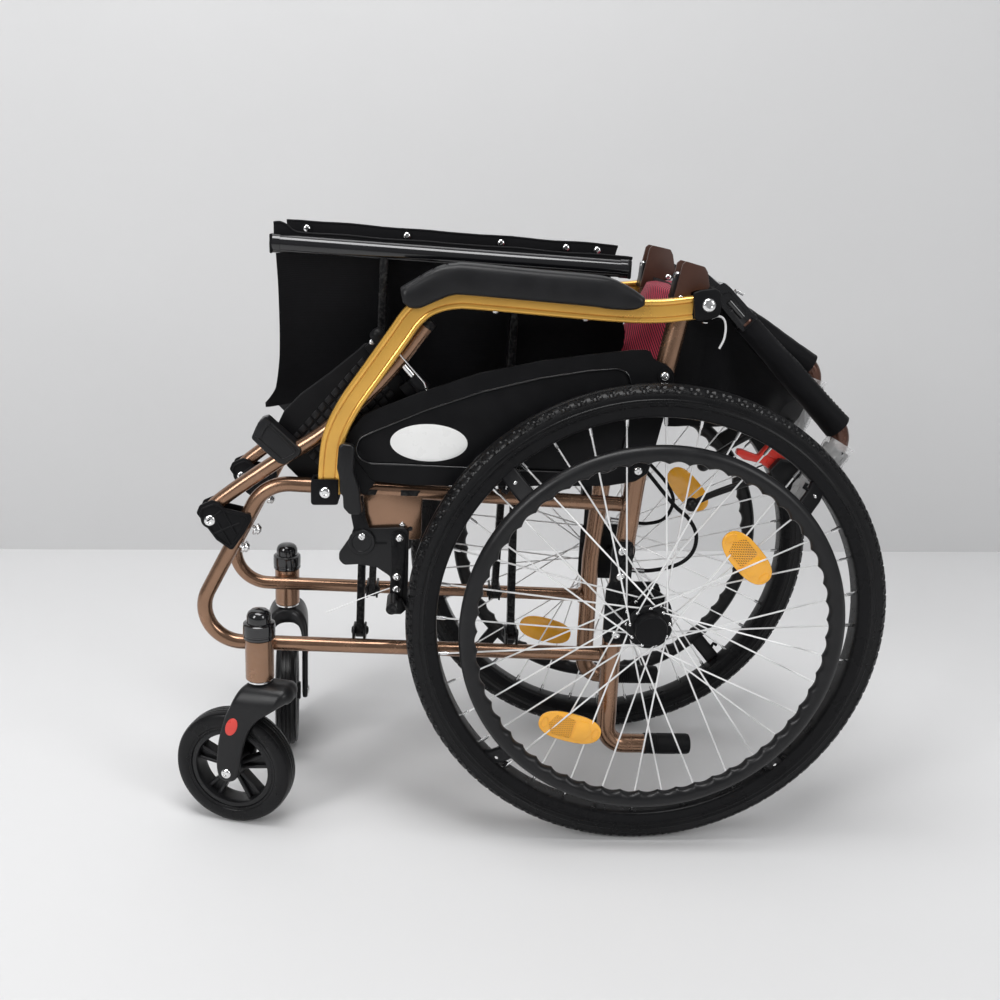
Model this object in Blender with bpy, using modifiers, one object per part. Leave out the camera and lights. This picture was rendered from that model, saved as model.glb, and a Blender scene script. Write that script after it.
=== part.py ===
"""A folding wheelchair, folded flat sideways, with its backrest folded down behind it.

Metres, +Z up. The chair faces -X, and its user's left is -Y. Places are given from the rear axle's
line in X, from the middle plane in Y and from the ground in Z; the whole chair then hangs on one
empty that moves the middle of its length to X = 0. Outlines are written in millimetres.
"""
import math

import bmesh
import bpy
from mathutils import Matrix, Vector

# Rear wheels
AXLE_X = 0.1490
WHEEL_RADIUS = 0.305
WHEEL_Y = 0.1535
TYRE_WIDTH = 0.036
TYRE_INSIDE = 0.2788
RIM_OUTSIDE = 0.2785
RIM_INSIDE = 0.2665
RIM_WIDTH = 0.030
HANDRIM_RADIUS = 0.229
HANDRIM_Y = 0.1935
HANDRIM_TUBE = 0.0105
HANDRIM_TABS = 4
FIRST_TAB_DEG = 44
SPOKE_RADIUS = 0.0010
SPOKES_PER_SET = 9
SPOKE_LEAN_DEG = 62
SPOKE_END = 0.2645
HUB_FLANGE = 0.0250
AXLE_RADIUS = 0.006
WHEEL_STEPS = 32

# Side frames
FRAME_Y = 0.108
TUBE_RADIUS = 0.0095
POST_RADIUS = 0.0128
CLEARANCE = 0.0003

# Cross brace, with the seat rails on its upper ends
BRACE_Y = 0.074
BRACE_PIVOT_Z = 0.253
RAIL_Z = 0.742
RAIL_MIDDLE_X = -0.2595
RAIL_SLOPE = -0.030
RAIL_RADIUS = 0.0105
RAIL_FRONT = -0.476
RAIL_REAR = -0.043
BAR_WIDTH = 0.010
BAR_DEPTH = 0.018
BRACE_CENTRE_Z = (BRACE_PIVOT_Z + RAIL_Z) / 2
ARM_A_LOWER_X = (-0.366, -0.166)
ARM_A_UPPER_X = (-0.366, -0.166)
ARM_B_LOWER_X = (-0.3585, -0.1795)
ARM_B_UPPER_X = (-0.3410, -0.1795)

# Casters
CASTER_X = -0.489
CASTER_Y = 0.130
CASTER_RADIUS = 0.0795
CASTER_TRAIL = 0.036
CASTER_WIDTH = 0.0315
HOUSING_BOTTOM = 0.209
HOUSING_TOP = 0.2645
SWIVEL_DEG = {-1: 165.0, 1: -84.3}

# Backrest: the upright leans back, and the push handles are folded down behind it
LEAN_DEG = 10.26
UPRIGHT_FOOT = Vector((-0.0201, 0.0, 0.486))
BACK_HINGE = Vector((0.030, 0.0, 0.734))
HANDLE_FOLDED_DEG = {-1: -43.6, 1: -32.0}
HANDLE_TUBE = 0.0115
HANDLE_LENGTH = 0.272
HANDLE_BEND = 0.032
GRIP_TURN = (0.2566, -0.9665)
GRIP_RADIUS = 0.0158
GRIP_BORE = 0.0122
CLOTH_EDGE = 0.085

# Footrests
HANGER_PIVOT = Vector((-0.548, 0.0, 0.415))
PLATE_HINGE = Vector((-0.318, 0.0, 0.617))
PLATE_AWAY_DEG = 222.0

# Armrests and parking brakes
ARM_PIVOT = Vector((0.045, 0.0, 0.701))
ARM_Y = 0.133
BRAKE_PIVOT = Vector((-0.362, 0.0, 0.400))
SHOE_PIVOT = Vector((-0.316, 0.0, 0.395))

LEFT = -1
RIGHT = 1
SIDE_NAME = {LEFT: "left", RIGHT: "right"}


# Scene and materials

def clear_scene():
    """Remove every object that the file holds."""
    for item in list(bpy.data.objects):
        bpy.data.objects.remove(item, do_unlink=True)


def new_collection(name):
    """A collection under the scene's own."""
    collection = bpy.data.collections.new(name)
    bpy.context.scene.collection.children.link(collection)
    return collection


def finish(name, colour, roughness, metallic=0.0):
    """A plain material with the piece's colour, roughness and metallic value."""
    material = bpy.data.materials.new(name)
    material.use_nodes = True
    shader = material.node_tree.nodes["Principled BSDF"]
    shader.inputs["Base Color"].default_value = (*colour, 1.0)
    shader.inputs["Roughness"].default_value = roughness
    shader.inputs["Metallic"].default_value = metallic
    return material


clear_scene()
PARTS = new_collection("folding_wheelchair")
BRONZE = finish("bronze_paint", (0.205, 0.095, 0.050), 0.34, 0.70)
BLACK_METAL = finish("black_paint", (0.018, 0.018, 0.019), 0.42, 0.30)
BLACK_PLASTIC = finish("black_plastic", (0.020, 0.020, 0.021), 0.50)
RUBBER = finish("black_rubber", (0.017, 0.017, 0.018), 0.72)
GOLD = finish("gold_anodised", (0.760, 0.390, 0.060), 0.28, 0.85)
STEEL = finish("bright_steel", (0.700, 0.700, 0.700), 0.22, 1.0)
BLACK_CLOTH = finish("black_cloth", (0.018, 0.018, 0.019), 0.85)
RED_MESH = finish("red_mesh_cloth", (0.260, 0.020, 0.030), 0.88)
RED_PLASTIC = finish("red_plastic", (0.720, 0.055, 0.040), 0.38)


# Places and paths

def mm(*pairs):
    """Pairs of millimetres as pairs of metres."""
    return [(x / 1000, z / 1000) for x, z in pairs]


def at_y(y, pairs):
    """Pairs of X and Z as points of one plane across the chair."""
    return [Vector((x, y, z)) for x, z in pairs]


def between(s, inner, outer):
    """The two Y values of a piece on side s, from its distances to the middle plane."""
    return s * inner, s * outer


def rounded(points, radius, closed=False, step=15):
    """The path with each corner turned into an arc; radius is one value or one for each point."""
    path = [Vector(point) for point in points]
    count = len(path)
    radii = radius if isinstance(radius, (list, tuple)) else [radius] * count
    result = []
    for index, corner in enumerate(path):
        is_end = not closed and index in (0, count - 1)
        back = path[index - 1] - corner
        ahead = path[(index + 1) % count] - corner
        turn = 0.0 if is_end else math.pi - back.angle(ahead)
        if radii[index] <= 0 or turn < 0.03:
            result.append(corner)
            continue
        reach = radii[index] * math.tan(turn / 2)
        reach = min(reach, 0.48 * back.length, 0.48 * ahead.length)
        bend = reach / math.tan(turn / 2)
        middle = (back.normalized() + ahead.normalized()).normalized()
        centre = corner + middle * (bend / math.cos(turn / 2))
        first = corner + back.normalized() * reach - centre
        last = corner + ahead.normalized() * reach - centre
        steps = max(1, round(math.degrees(turn) / step))
        for number in range(steps + 1):
            share = number / steps
            spoke = first * math.sin((1 - share) * turn) + last * math.sin(share * turn)
            result.append(centre + spoke / math.sin(turn))
    return result


def smooth_path(points, steps=3):
    """Points of a smooth curve that passes through the given ones."""
    path = [Vector(point) for point in points]
    path = [2 * path[0] - path[1], *path, 2 * path[-1] - path[-2]]
    result = []
    for index in range(1, len(path) - 2):
        a, b, c, d = path[index - 1:index + 3]
        for number in range(steps):
            t = number / steps
            bend = 2 * a - 5 * b + 4 * c - d
            twist = 3 * b - a - 3 * c + d
            result.append(b + (c - a) * (t / 2) + bend * (t * t / 2) + twist * (t ** 3 / 2))
    result.append(path[-2])
    return result


def rail_height(x):
    """Height of a seat rail's middle at x."""
    return RAIL_Z + RAIL_SLOPE * (x - RAIL_MIDDLE_X)


# Basic shapes; each is a closed mesh in the chair's places

def loose(data, name="piece"):
    """A new object that still has to be joined or named."""
    piece = bpy.data.objects.new(name, data)
    bpy.context.scene.collection.objects.link(piece)
    return piece


def baked(piece):
    """The object as a plain welded mesh, with its place moved into the mesh."""
    bpy.context.view_layer.update()
    seen = piece.evaluated_get(bpy.context.evaluated_depsgraph_get())
    mesh = bpy.data.meshes.new_from_object(seen)
    mesh.transform(piece.matrix_world)
    bpy.data.objects.remove(piece, do_unlink=True)
    shell = bmesh.new()
    shell.from_mesh(mesh)
    bmesh.ops.remove_doubles(shell, verts=shell.verts, dist=0.00001)
    bmesh.ops.recalc_face_normals(shell, faces=shell.faces)
    shell.to_mesh(mesh)
    shell.free()
    return loose(mesh)


def from_bmesh(shell, matrix=None):
    """A loose object from a bmesh."""
    if matrix is not None:
        bmesh.ops.transform(shell, matrix=matrix, verts=shell.verts)
    mesh = bpy.data.meshes.new("shape")
    shell.to_mesh(mesh)
    shell.free()
    return baked(loose(mesh))


def block(x_span, y_span, z_span):
    """A box between pairs of X, Y and Z values."""
    shell = bmesh.new()
    bmesh.ops.create_cube(shell, size=1.0)
    spans = [x_span, y_span, z_span]
    size = Matrix.Diagonal((*(abs(b - a) for a, b in spans), 1.0))
    middle = Matrix.Translation([(a + b) / 2 for a, b in spans])
    return from_bmesh(shell, middle @ size)


def rod(start, end, radius, sides=12, end_radius=None):
    """A round bar, or a cone, between two points."""
    start = Vector(start)
    end = Vector(end)
    shell = bmesh.new()
    bmesh.ops.create_cone(
        shell, cap_ends=True, segments=sides, radius1=radius,
        radius2=radius if end_radius is None else end_radius, depth=(end - start).length,
    )
    turn = (end - start).to_track_quat("Z", "Y").to_matrix().to_4x4()
    return from_bmesh(shell, Matrix.Translation((start + end) / 2) @ turn)


def ball(centre, radius):
    """A small round knob."""
    shell = bmesh.new()
    bmesh.ops.create_uvsphere(shell, u_segments=8, v_segments=6, radius=radius)
    return from_bmesh(shell, Matrix.Translation(centre))


def tube(path, radius, detail=2):
    """A round bar along a path; detail 2, 3 and 4 give eight, ten and twelve sides."""
    curve = bpy.data.curves.new("path", "CURVE")
    curve.dimensions = "3D"
    curve.bevel_depth = radius
    curve.bevel_resolution = detail
    curve.use_fill_caps = True
    spline = curve.splines.new("POLY")
    spline.points.add(len(path) - 1)
    for point, place in zip(spline.points, path):
        point.co = (*place, 1.0)
    return baked(loose(curve))


def plate(outline, y_span):
    """A flat piece: an outline in X and Z between two values of Y."""
    curve = bpy.data.curves.new("outline", "CURVE")
    curve.dimensions = "2D"
    curve.fill_mode = "BOTH"
    curve.extrude = abs(y_span[1] - y_span[0]) / 2
    spline = curve.splines.new("POLY")
    spline.points.add(len(outline) - 1)
    spline.use_cyclic_u = True
    for point, place in zip(spline.points, outline):
        x, z = (place[0], place[-1])
        point.co = (x, z, 0.0, 1.0)
    piece = loose(curve)
    piece.rotation_euler.x = math.radians(90)
    piece.location.y = (y_span[0] + y_span[1]) / 2
    return baked(piece)


def turned(profile, steps, closed=False):
    """A profile of radii and heights, turned about Z."""
    mesh = bpy.data.meshes.new("profile")
    count = len(profile)
    edges = [(index, index + 1) for index in range(count - 1)]
    if closed:
        edges.append((count - 1, 0))
    mesh.from_pydata([(radius, 0.0, height) for radius, height in profile], edges, [])
    piece = loose(mesh)
    screw = piece.modifiers.new("turn", "SCREW")
    screw.steps = steps
    screw.render_steps = steps
    screw.use_merge_vertices = True
    screw.merge_threshold = 0.00001
    return baked(piece)


def sheet(shape, across, along, thickness):
    """A cloth of even thickness; shape gives a point for two shares from 0 to 1."""
    shell = bmesh.new()
    bmesh.ops.create_grid(shell, x_segments=across, y_segments=along, size=1.0)
    for vertex in shell.verts:
        vertex.co = shape((vertex.co.x + 1) / 2, (vertex.co.y + 1) / 2)
    mesh = bpy.data.meshes.new("cloth")
    shell.to_mesh(mesh)
    shell.free()
    piece = loose(mesh)
    solid = piece.modifiers.new("thickness", "SOLIDIFY")
    solid.thickness = thickness
    solid.offset = 0.0
    return baked(piece)


def moved(piece, matrix):
    """The piece after a turn or a shift of its mesh."""
    piece.data.transform(matrix)
    return piece


def to_side(piece, s, place):
    """Stand a piece turned about Z on the chair's side: its heights become distances in Y."""
    turn = Matrix.Rotation(math.radians(-90 * s), 4, "X")
    return moved(piece, Matrix.Translation(place) @ turn)


def combined(operation, base, others):
    """The base after an exact Boolean with each of the others."""
    for other in others:
        step = base.modifiers.new("step", "BOOLEAN")
        step.operation = operation
        step.solver = "EXACT"
        step.object = other
        base = baked(base)
        bpy.data.objects.remove(other, do_unlink=True)
    return base


def joined(base, *others):
    """One body from several that overlap."""
    return combined("UNION", base, others)


def cut(base, *others):
    """The base without the others."""
    return combined("DIFFERENCE", base, others)


def grouped(base, *others):
    """One object from pieces that stay separate bodies."""
    shell = bmesh.new()
    for piece in (base, *others):
        shell.from_mesh(piece.data)
        bpy.data.objects.remove(piece, do_unlink=True)
    return from_bmesh(shell)


# Tree of empties and named parts

def pivot(name, place, parent=None, turn_y=0.0, turn_z=0.0):
    """An empty on a joint's axis, placed under its parent."""
    empty = bpy.data.objects.new(name, None)
    PARTS.objects.link(empty)
    empty.parent = parent
    empty.location = place
    empty.rotation_euler = (0.0, math.radians(turn_y), math.radians(turn_z))
    bpy.context.view_layer.update()
    return empty


def part(name, piece, material, holder, local=False):
    """Name a finished piece and hang it on an empty; local pieces are already in its frame."""
    if not local:
        frame = CHAIR.matrix_world.inverted() @ holder.matrix_world
        piece.data.transform(frame.inverted())
    bpy.context.scene.collection.objects.unlink(piece)
    PARTS.objects.link(piece)
    piece.name = name
    piece.data.name = name
    piece.data.materials.clear()
    piece.data.materials.append(material)
    piece.data.shade_smooth()
    piece.data.set_sharp_from_angle(angle=math.radians(35))
    piece.parent = holder
    bpy.context.view_layer.update()
    return piece


CHAIR = pivot("chair", (AXLE_X, 0.0, 0.0))


# Side frames

def brace_lug(s, x):
    """Two ears and their pin on the lower tube, for one bar of the cross brace."""
    ear = (0.0055, 0.0085)
    ears = [
        block((x + end * ear[0], x + end * ear[1]), between(s, 0.0655, 0.1015), (0.2440, 0.2620))
        for end in (-1, 1)
    ]
    pin = rod((x - 0.0105, s * BRACE_Y, BRACE_PIVOT_Z), (x + 0.0105, s * BRACE_Y, BRACE_PIVOT_Z), 0.004, 8)
    return joined(ears[0], ears[1], pin)


def rail_rest(s, x, top):
    """A bent lug inside the seat tube, on which the seat rail lies when the chair is open."""
    foot = block((x - 0.006, x + 0.006), between(s, 0.0868, 0.1030), (0.4480, 0.4680))
    stem = block((x - 0.006, x + 0.006), between(s, 0.0868, 0.0965), (0.4490, 0.5150))
    shelf = block((x - 0.006, x + 0.006), between(s, 0.0630, 0.0900), (top - 0.009, top))
    return joined(foot, stem, shelf)


def back_hinge(s):
    """The bracket on top of the upright, with the pin of the push handle."""
    y = s * FRAME_Y
    outline = rounded(mm((16, 750), (43, 742), (50, 721), (35, 704), (7, 702)), 0.004, True, 60)
    body = plate(outline, (y - 0.0165, y + 0.0165))
    slot_outline = mm((16.5, 770), (16.5, 735), (19, 722), (26, 714), (66, 676), (90, 676), (90, 770))
    slot = plate(slot_outline, (y - 0.0122, y + 0.0122))
    pin = rod((BACK_HINGE.x, y - 0.0167, BACK_HINGE.z), (BACK_HINGE.x, y + 0.0167, BACK_HINGE.z), 0.004, 8)
    return joined(cut(body, slot), pin)


def footrest_bracket(s):
    """The two plates on the front bend that carry the hanger's pivot."""
    outline = mm((-564, 420), (-552, 438), (-544, 441), (-498, 423), (-499, 417), (-523, 376), (-543, 383))
    outer = plate(outline, between(s, 0.1180, 0.1215))
    inner = plate(outline, between(s, 0.0945, 0.0980))
    pin_x, pin_z = HANGER_PIVOT.x, HANGER_PIVOT.z
    pin = rod((pin_x, s * 0.0930, pin_z), (pin_x, s * 0.1240, pin_z), 0.0038, 8)
    bolt = rod((-0.514, s * 0.0930, 0.397), (-0.514, s * 0.1240, 0.397), 0.0050, 8)
    return joined(outer, inner, pin, bolt)


def brake_plate(s):
    """The parking brake's plate, on the gusset under the seat tube."""
    outline = mm(
        (-373, 408), (-307, 410), (-305, 397), (-307, 380), (-316, 360), (-305, 349), (-305, 304),
        (-327, 304), (-328, 346), (-344, 357), (-377, 358), (-390, 371), (-386, 383),
    )
    return plate(outline, between(s, 0.1160, 0.1225))


def side_frame(s):
    """The loop of tube, the upright with its tipping lever, and what is fixed to them."""
    y = s * FRAME_Y
    loop_corners = mm((-24, 446), (-482, 462), (-590, 250), (-34, 239))
    loop = tube(rounded(at_y(y, loop_corners), [0, 0.050, 0.048, 0], step=20), TUBE_RADIUS)
    upright_corners = mm((20.9, 712), (-20.5, 484), (-34.5, 300), (-33, 109), (20, 109))
    upright = tube(rounded(at_y(y, upright_corners), [0, 0.25, 0, 0.060, 0]), POST_RADIUS)
    housing = rod((CASTER_X, s * CASTER_Y, HOUSING_BOTTOM), (CASTER_X, s * CASTER_Y, HOUSING_TOP), 0.018, 16)
    gusset_outline = rounded(mm((-361, 395), (-288, 395), (-288, 457), (-361, 457)), 0.006, True, 45)
    gusset = plate(gusset_outline, between(s, 0.1125, 0.1165))
    lug_x = ARM_A_LOWER_X if s == LEFT else ARM_B_LOWER_X
    frame = joined(
        loop, upright, housing, gusset,
        brace_lug(s, lug_x[0]), brace_lug(s, lug_x[1]),
        rail_rest(s, -0.290, 0.5068), rail_rest(s, -0.080, 0.5005),
        back_hinge(s), footrest_bracket(s), brake_plate(s),
    )
    stem_bore = rod((CASTER_X, s * CASTER_Y, 0.200), (CASTER_X, s * CASTER_Y, 0.270), 0.0087, 12)
    return cut(frame, stem_bore)


def axle_plate(s):
    """The plate on the upright with the brake drum's fixed half and the wheel's axle."""
    axle_z = WHEEL_RADIUS
    foot_outline = rounded(mm((-50, 262), (20, 262), (20, 348), (-50, 348)), 0.010, True, 45)
    foot = plate(foot_outline, between(s, 0.1213, 0.1256))
    strap_outline = rounded(mm((-46, 340), (-19, 340), (-19, 402), (-46, 402)), 0.006, True, 45)
    strap = plate(strap_outline, between(s, 0.1216, 0.1253))
    drum = rod((0, s * 0.1246, axle_z), (0, s * 0.1334, axle_z), 0.036, 22)
    axle = rod((0, s * 0.1140, axle_z), (0, s * 0.1690, axle_z), AXLE_RADIUS, 10)
    nut = rod((0, s * 0.1142, axle_z), (0, s * 0.1216, axle_z), 0.011, 6)
    return joined(foot, strap, drum, axle, nut)


def arm_socket(s):
    """The cup on the seat tube that the armrest's front end stands in."""
    cup = plate(mm((-422, 445), (-389, 446), (-389, 478), (-422, 477)), between(s, 0.1180, 0.1445))
    slot = block((-0.435, -0.375), between(s, 0.1246, 0.1414), (0.4560, 0.4900))
    bolt = rod((-0.405, s * 0.1435, 0.4600), (-0.405, s * 0.1451, 0.4600), 0.0065, 8)
    return joined(cut(cup, slot), bolt)


def arm_bracket(s):
    """The two cheeks that carry the armrest's rear pivot."""
    inner_outline = mm((4, 690), (27, 683), (62, 684), (58, 722), (54, 722), (37.5, 700), (8, 697.5))
    inner = plate(inner_outline, between(s, 0.1213, 0.1246))
    outer = plate(mm((25, 721), (29, 683), (62, 684), (58, 722)), between(s, 0.1414, 0.1445))
    web = block((0.044, 0.060), between(s, 0.1230, 0.1430), (0.6815, 0.6862))
    pin = rod((ARM_PIVOT.x, s * 0.1220, ARM_PIVOT.z), (ARM_PIVOT.x, s * 0.1475, ARM_PIVOT.z), 0.004, 8)
    head = rod((ARM_PIVOT.x, s * 0.1440, ARM_PIVOT.z), (ARM_PIVOT.x, s * 0.1480, ARM_PIVOT.z), 0.0065, 8)
    return joined(inner, outer, web, pin, head)


def tipping_plug(s):
    """The rubber plug on the tipping lever."""
    profile = [(0.0, 0.0830), (0.0115, 0.0830), (0.0138, 0.0800), (0.0138, 0.0203), (0.0, 0.0203)]
    to_x = Matrix.Rotation(math.radians(90), 4, "Y")
    return moved(turned(profile, 14), Matrix.Translation((0.0, s * FRAME_Y, 0.109)) @ to_x)


def side_panel(s):
    """The moulded skirt guard above the seat tube, with the armrest's socket at its front."""
    outline = mm(
        (-372, 502), (-380, 530), (-361, 555), (-294, 584), (-223, 610), (-151, 627), (-92, 637),
        (-41, 644), (-17, 645), (-7, 632), (13, 624), (13, 606), (-1, 534), (-9, 492), (-24, 481),
        (-60, 474), (-200, 470), (-300, 468), (-350, 472),
    )
    panel = plate(rounded(outline, 0.010, True, 30), between(s, 0.1215, 0.1245))
    bridge_outline = mm((-400, 453), (-358, 455), (-340, 478), (-366, 510), (-400, 474))
    bridge = plate(bridge_outline, between(s, 0.1218, 0.1242))
    return joined(panel, bridge, arm_socket(s))


def brake_cable(s):
    """The cable from the upright's top, in a loose loop, to the drum."""
    loops = {
        LEFT: [(-19, 522), (-13, 498), (7, 474), (37, 441), (57, 424), (69, 402), (66, 378), (48, 361),
               (14, 352), (-14, 352)],
        RIGHT: [(-19, 522), (-6, 492), (24, 465), (49, 442), (68, 421), (79, 396), (69, 370), (46, 361),
                (18, 362), (-12, 366)],
    }
    loop = smooth_path(at_y(s * 0.0905, mm(*loops[s])), 2)
    return tube([Vector((0.010, s * 0.0905, 0.690)), *loop], 0.0026)


# Rear wheels

def tyre():
    """A pneumatic tyre with a flat-sided crown, about its own axis."""
    half = TYRE_WIDTH / 2
    profile = [
        (TYRE_INSIDE, half - 0.005), (TYRE_INSIDE, -half + 0.005), (0.2880, -half), (0.2980, -half + 0.002),
        (WHEEL_RADIUS, -half + 0.0105), (WHEEL_RADIUS, half - 0.0105), (0.2980, half - 0.002), (0.2880, half),
    ]
    return turned(profile, WHEEL_STEPS, closed=True)


def rim():
    """The wheel's rim, about its own axis."""
    half = RIM_WIDTH / 2
    profile = [(RIM_OUTSIDE, half), (RIM_OUTSIDE, -half), (RIM_INSIDE, -half + 0.004), (RIM_INSIDE, half - 0.004)]
    return turned(profile, WHEEL_STEPS, closed=True)


def hub_cap(s):
    """The cap over the hub's outer end, in places of the side."""
    profile = [(0.0, 0.1855), (0.0165, 0.1855), (0.0205, 0.1830), (0.0205, 0.1713), (0.0, 0.1713)]
    return to_side(turned(profile, 18), s, (0.0, 0.0, WHEEL_RADIUS))


def spoke_set(s, flange, lead):
    """The spokes that leave one flange in one direction."""
    axle = Vector((0.0, 0.0, WHEEL_RADIUS))
    offset = 0.0012 if lead else -0.0012
    hub_place = s * ((0.1363, 0.1685)[flange] + offset)
    rim_place = s * (WHEEL_Y + (0.003 if flange else -0.003) + offset)
    rods = []
    for number in range(SPOKES_PER_SET):
        rim_angle = math.radians((4 * number + 2 * lead + flange) * 10)
        hub_angle = rim_angle + math.radians(SPOKE_LEAN_DEG if lead else -SPOKE_LEAN_DEG)
        start = Vector((HUB_FLANGE * math.cos(hub_angle), hub_place, HUB_FLANGE * math.sin(hub_angle)))
        end = Vector((SPOKE_END * math.cos(rim_angle), rim_place, SPOKE_END * math.sin(rim_angle)))
        rods.append(rod(start + axle, end + axle, SPOKE_RADIUS, 3))
    return grouped(*rods)


def spoked_hub(s):
    """The hub's turning half with its two flanges, and four sets of crossed spokes."""
    profile = [
        (0.0275, 0.1709), (0.0275, 0.1660), (0.0160, 0.1650), (0.0160, 0.1398), (0.0275, 0.1388),
        (0.0275, 0.1339), (0.0066, 0.1339), (0.0066, 0.1709),
    ]
    core = to_side(turned(profile, 12, closed=True), s, (0.0, 0.0, WHEEL_RADIUS))
    sets = [spoke_set(s, flange, lead) for flange in (0, 1) for lead in (0, 1)]
    return joined(core, *sets)


def handrim(s):
    """The pushing ring with its tabs."""
    section = [
        (HANDRIM_RADIUS + HANDRIM_TUBE * math.cos(angle), HANDRIM_Y + HANDRIM_TUBE * math.sin(angle))
        for angle in (math.radians(-60 * number) for number in range(6))
    ]
    ring = to_side(turned(section, WHEEL_STEPS, closed=True), s, (0.0, 0.0, WHEEL_RADIUS))
    tabs = []
    for number in range(HANDRIM_TABS):
        angle = math.radians(FIRST_TAB_DEG + 360 / HANDRIM_TABS * number)
        outward = Vector((math.cos(angle), 0.0, math.sin(angle)))
        axle = Vector((0.0, 0.0, WHEEL_RADIUS))
        start = axle + outward * 0.2655 + Vector((0.0, s * 0.1748, 0.0))
        end = axle + outward * HANDRIM_RADIUS + Vector((0.0, s * HANDRIM_Y, 0.0))
        tabs.append(rod(start, end, 0.0062, 8))
    return joined(ring, *tabs)


def rear_wheel(s):
    """One rear wheel on its axle."""
    name = SIDE_NAME[s]
    axle = pivot(f"wheel_axis_{name}", (0.0, s * WHEEL_Y, WHEEL_RADIUS), CHAIR)
    middle = (0.0, s * WHEEL_Y, WHEEL_RADIUS)
    part(f"tyre_{name}", to_side(tyre(), s, middle), RUBBER, axle)
    part(f"rim_{name}", to_side(rim(), s, middle), BLACK_METAL, axle)
    part(f"spoked_hub_{name}", spoked_hub(s), STEEL, axle)
    part(f"hub_cap_{name}", hub_cap(s), BLACK_PLASTIC, axle)
    part(f"handrim_{name}", handrim(s), BLACK_PLASTIC, axle)


# Casters, each about its stem; X runs along the trail

def caster_cap():
    """The collar and domed cap on top of the stem."""
    profile = [
        (0.0, 0.3030), (0.0100, 0.3020), (0.0155, 0.2940), (0.0155, 0.2860), (0.0190, 0.2850),
        (0.0190, 0.2650), (0.0, 0.2650),
    ]
    return turned(profile, 12)


def caster_fork():
    """Two legs under a crown, with the axle bolt, the stem and the cap above the housing."""
    outline = mm(
        (-30, 206), (17, 206), (21, 190), (33, 158), (45, 125), (49, 92), (46, 76), (38, 68), (29, 68),
        (22, 77), (19, 88), (17.6, 105), (11.6, 131), (-8, 160), (-31, 181), (-36, 194),
    )
    legs = [plate(outline, (end * 0.0215, end * 0.0300)) for end in (-1, 1)]
    crown = block((-0.0300, 0.0160), (-0.0270, 0.0270), (0.1740, 0.2055))
    stem = rod((0, 0, 0.200), (0, 0, 0.2700), 0.0078, 10)
    ring = rod((0, 0, 0.204), (0, 0, 0.2086), 0.0165, 12)
    bolt = rod((CASTER_TRAIL, -0.0325, CASTER_RADIUS), (CASTER_TRAIL, 0.0325, CASTER_RADIUS), 0.0038, 8)
    return joined(legs[0], legs[1], crown, stem, ring, bolt, caster_cap())


def caster_wheel():
    """The five-spoke core about its own axis."""
    rim_profile = [(0.0560, 0.0130), (0.0560, -0.0130), (0.0500, -0.0110), (0.0500, 0.0110)]
    core = turned(rim_profile, 20, closed=True)
    boss = rod((0, 0, -0.0195), (0, 0, 0.0195), 0.0135, 12)
    arms = []
    for number in range(5):
        angle = math.radians(90 + 72 * number)
        arm = block((0.0080, 0.0530), (-0.0055, 0.0055), (-0.0075, 0.0075))
        arms.append(moved(arm, Matrix.Rotation(angle, 4, "Z")))
    bore = rod((0, 0, -0.03), (0, 0, 0.03), 0.0045, 8)
    return cut(joined(core, boss, *arms), bore)


def caster_tyre():
    """The solid tyre about its own axis, with one deep groove round its tread."""
    half = CASTER_WIDTH / 2
    profile = [
        (0.0563, half - 0.002), (0.0563, -half + 0.002), (0.0660, -half), (CASTER_RADIUS, -half + 0.0060),
        (CASTER_RADIUS, half - 0.0060), (0.0660, half),
    ]
    return turned(profile, 20, closed=True)


def caster(s):
    """One caster under its stem."""
    name = SIDE_NAME[s]
    stem = pivot(f"caster_stem_{name}", (CASTER_X, s * CASTER_Y, 0.0), CHAIR, turn_z=SWIVEL_DEG[s])
    axle = pivot(f"caster_axis_{name}", (CASTER_TRAIL, 0.0, CASTER_RADIUS), stem)
    part(f"caster_fork_{name}", caster_fork(), BLACK_PLASTIC, stem, local=True)
    on_axle = Matrix.Rotation(math.radians(90), 4, "X")
    part(f"caster_wheel_{name}", moved(caster_wheel(), on_axle), BLACK_PLASTIC, axle, local=True)
    part(f"caster_tyre_{name}", moved(caster_tyre(), on_axle), RUBBER, axle, local=True)


# Armrests

def arm_strip(s, half_height, y_span):
    """A flat strip that follows the armrest's tube, from its foot to its rear pivot."""
    points = [Vector(place) for place in mm(
        (-400, 458), (-400, 486), (-395, 528), (-378, 566), (-350, 608), (-322, 649), (-304, 675),
        (-284, 691), (-256, 699), (-220, 699), (-78, 692), (-20, 692), (20, 697), (45, 701),
    )]
    upper_edge = []
    lower_edge = []
    for index, point in enumerate(points):
        ahead = points[min(index + 1, len(points) - 1)] - points[max(index - 1, 0)]
        side = Vector((-ahead.y, ahead.x)).normalized() * half_height
        upper_edge.append(point + side)
        lower_edge.append(point - side)
    return plate(upper_edge + lower_edge[::-1], between(s, *y_span))


def softened(piece, width, segments=1):
    """The piece with its long edges bevelled."""
    edges = piece.modifiers.new("edges", "BEVEL")
    edges.width = width
    edges.segments = segments
    edges.limit_method = "ANGLE"
    edges.angle_limit = math.radians(60)
    return baked(piece)


def arm_tube(s):
    """The flat gold tube from the front socket to the rear pivot."""
    body = softened(arm_strip(s, 0.0138, (ARM_Y - 0.008, ARM_Y + 0.008)), 0.0035)
    knuckle = rod((ARM_PIVOT.x, s * 0.1252, ARM_PIVOT.z), (ARM_PIVOT.x, s * 0.1408, ARM_PIVOT.z), 0.0130, 12)
    bore = rod((ARM_PIVOT.x, s * 0.1100, ARM_PIVOT.z), (ARM_PIVOT.x, s * 0.1600, ARM_PIVOT.z), 0.0045, 8)
    return cut(joined(body, knuckle), bore)


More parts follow.
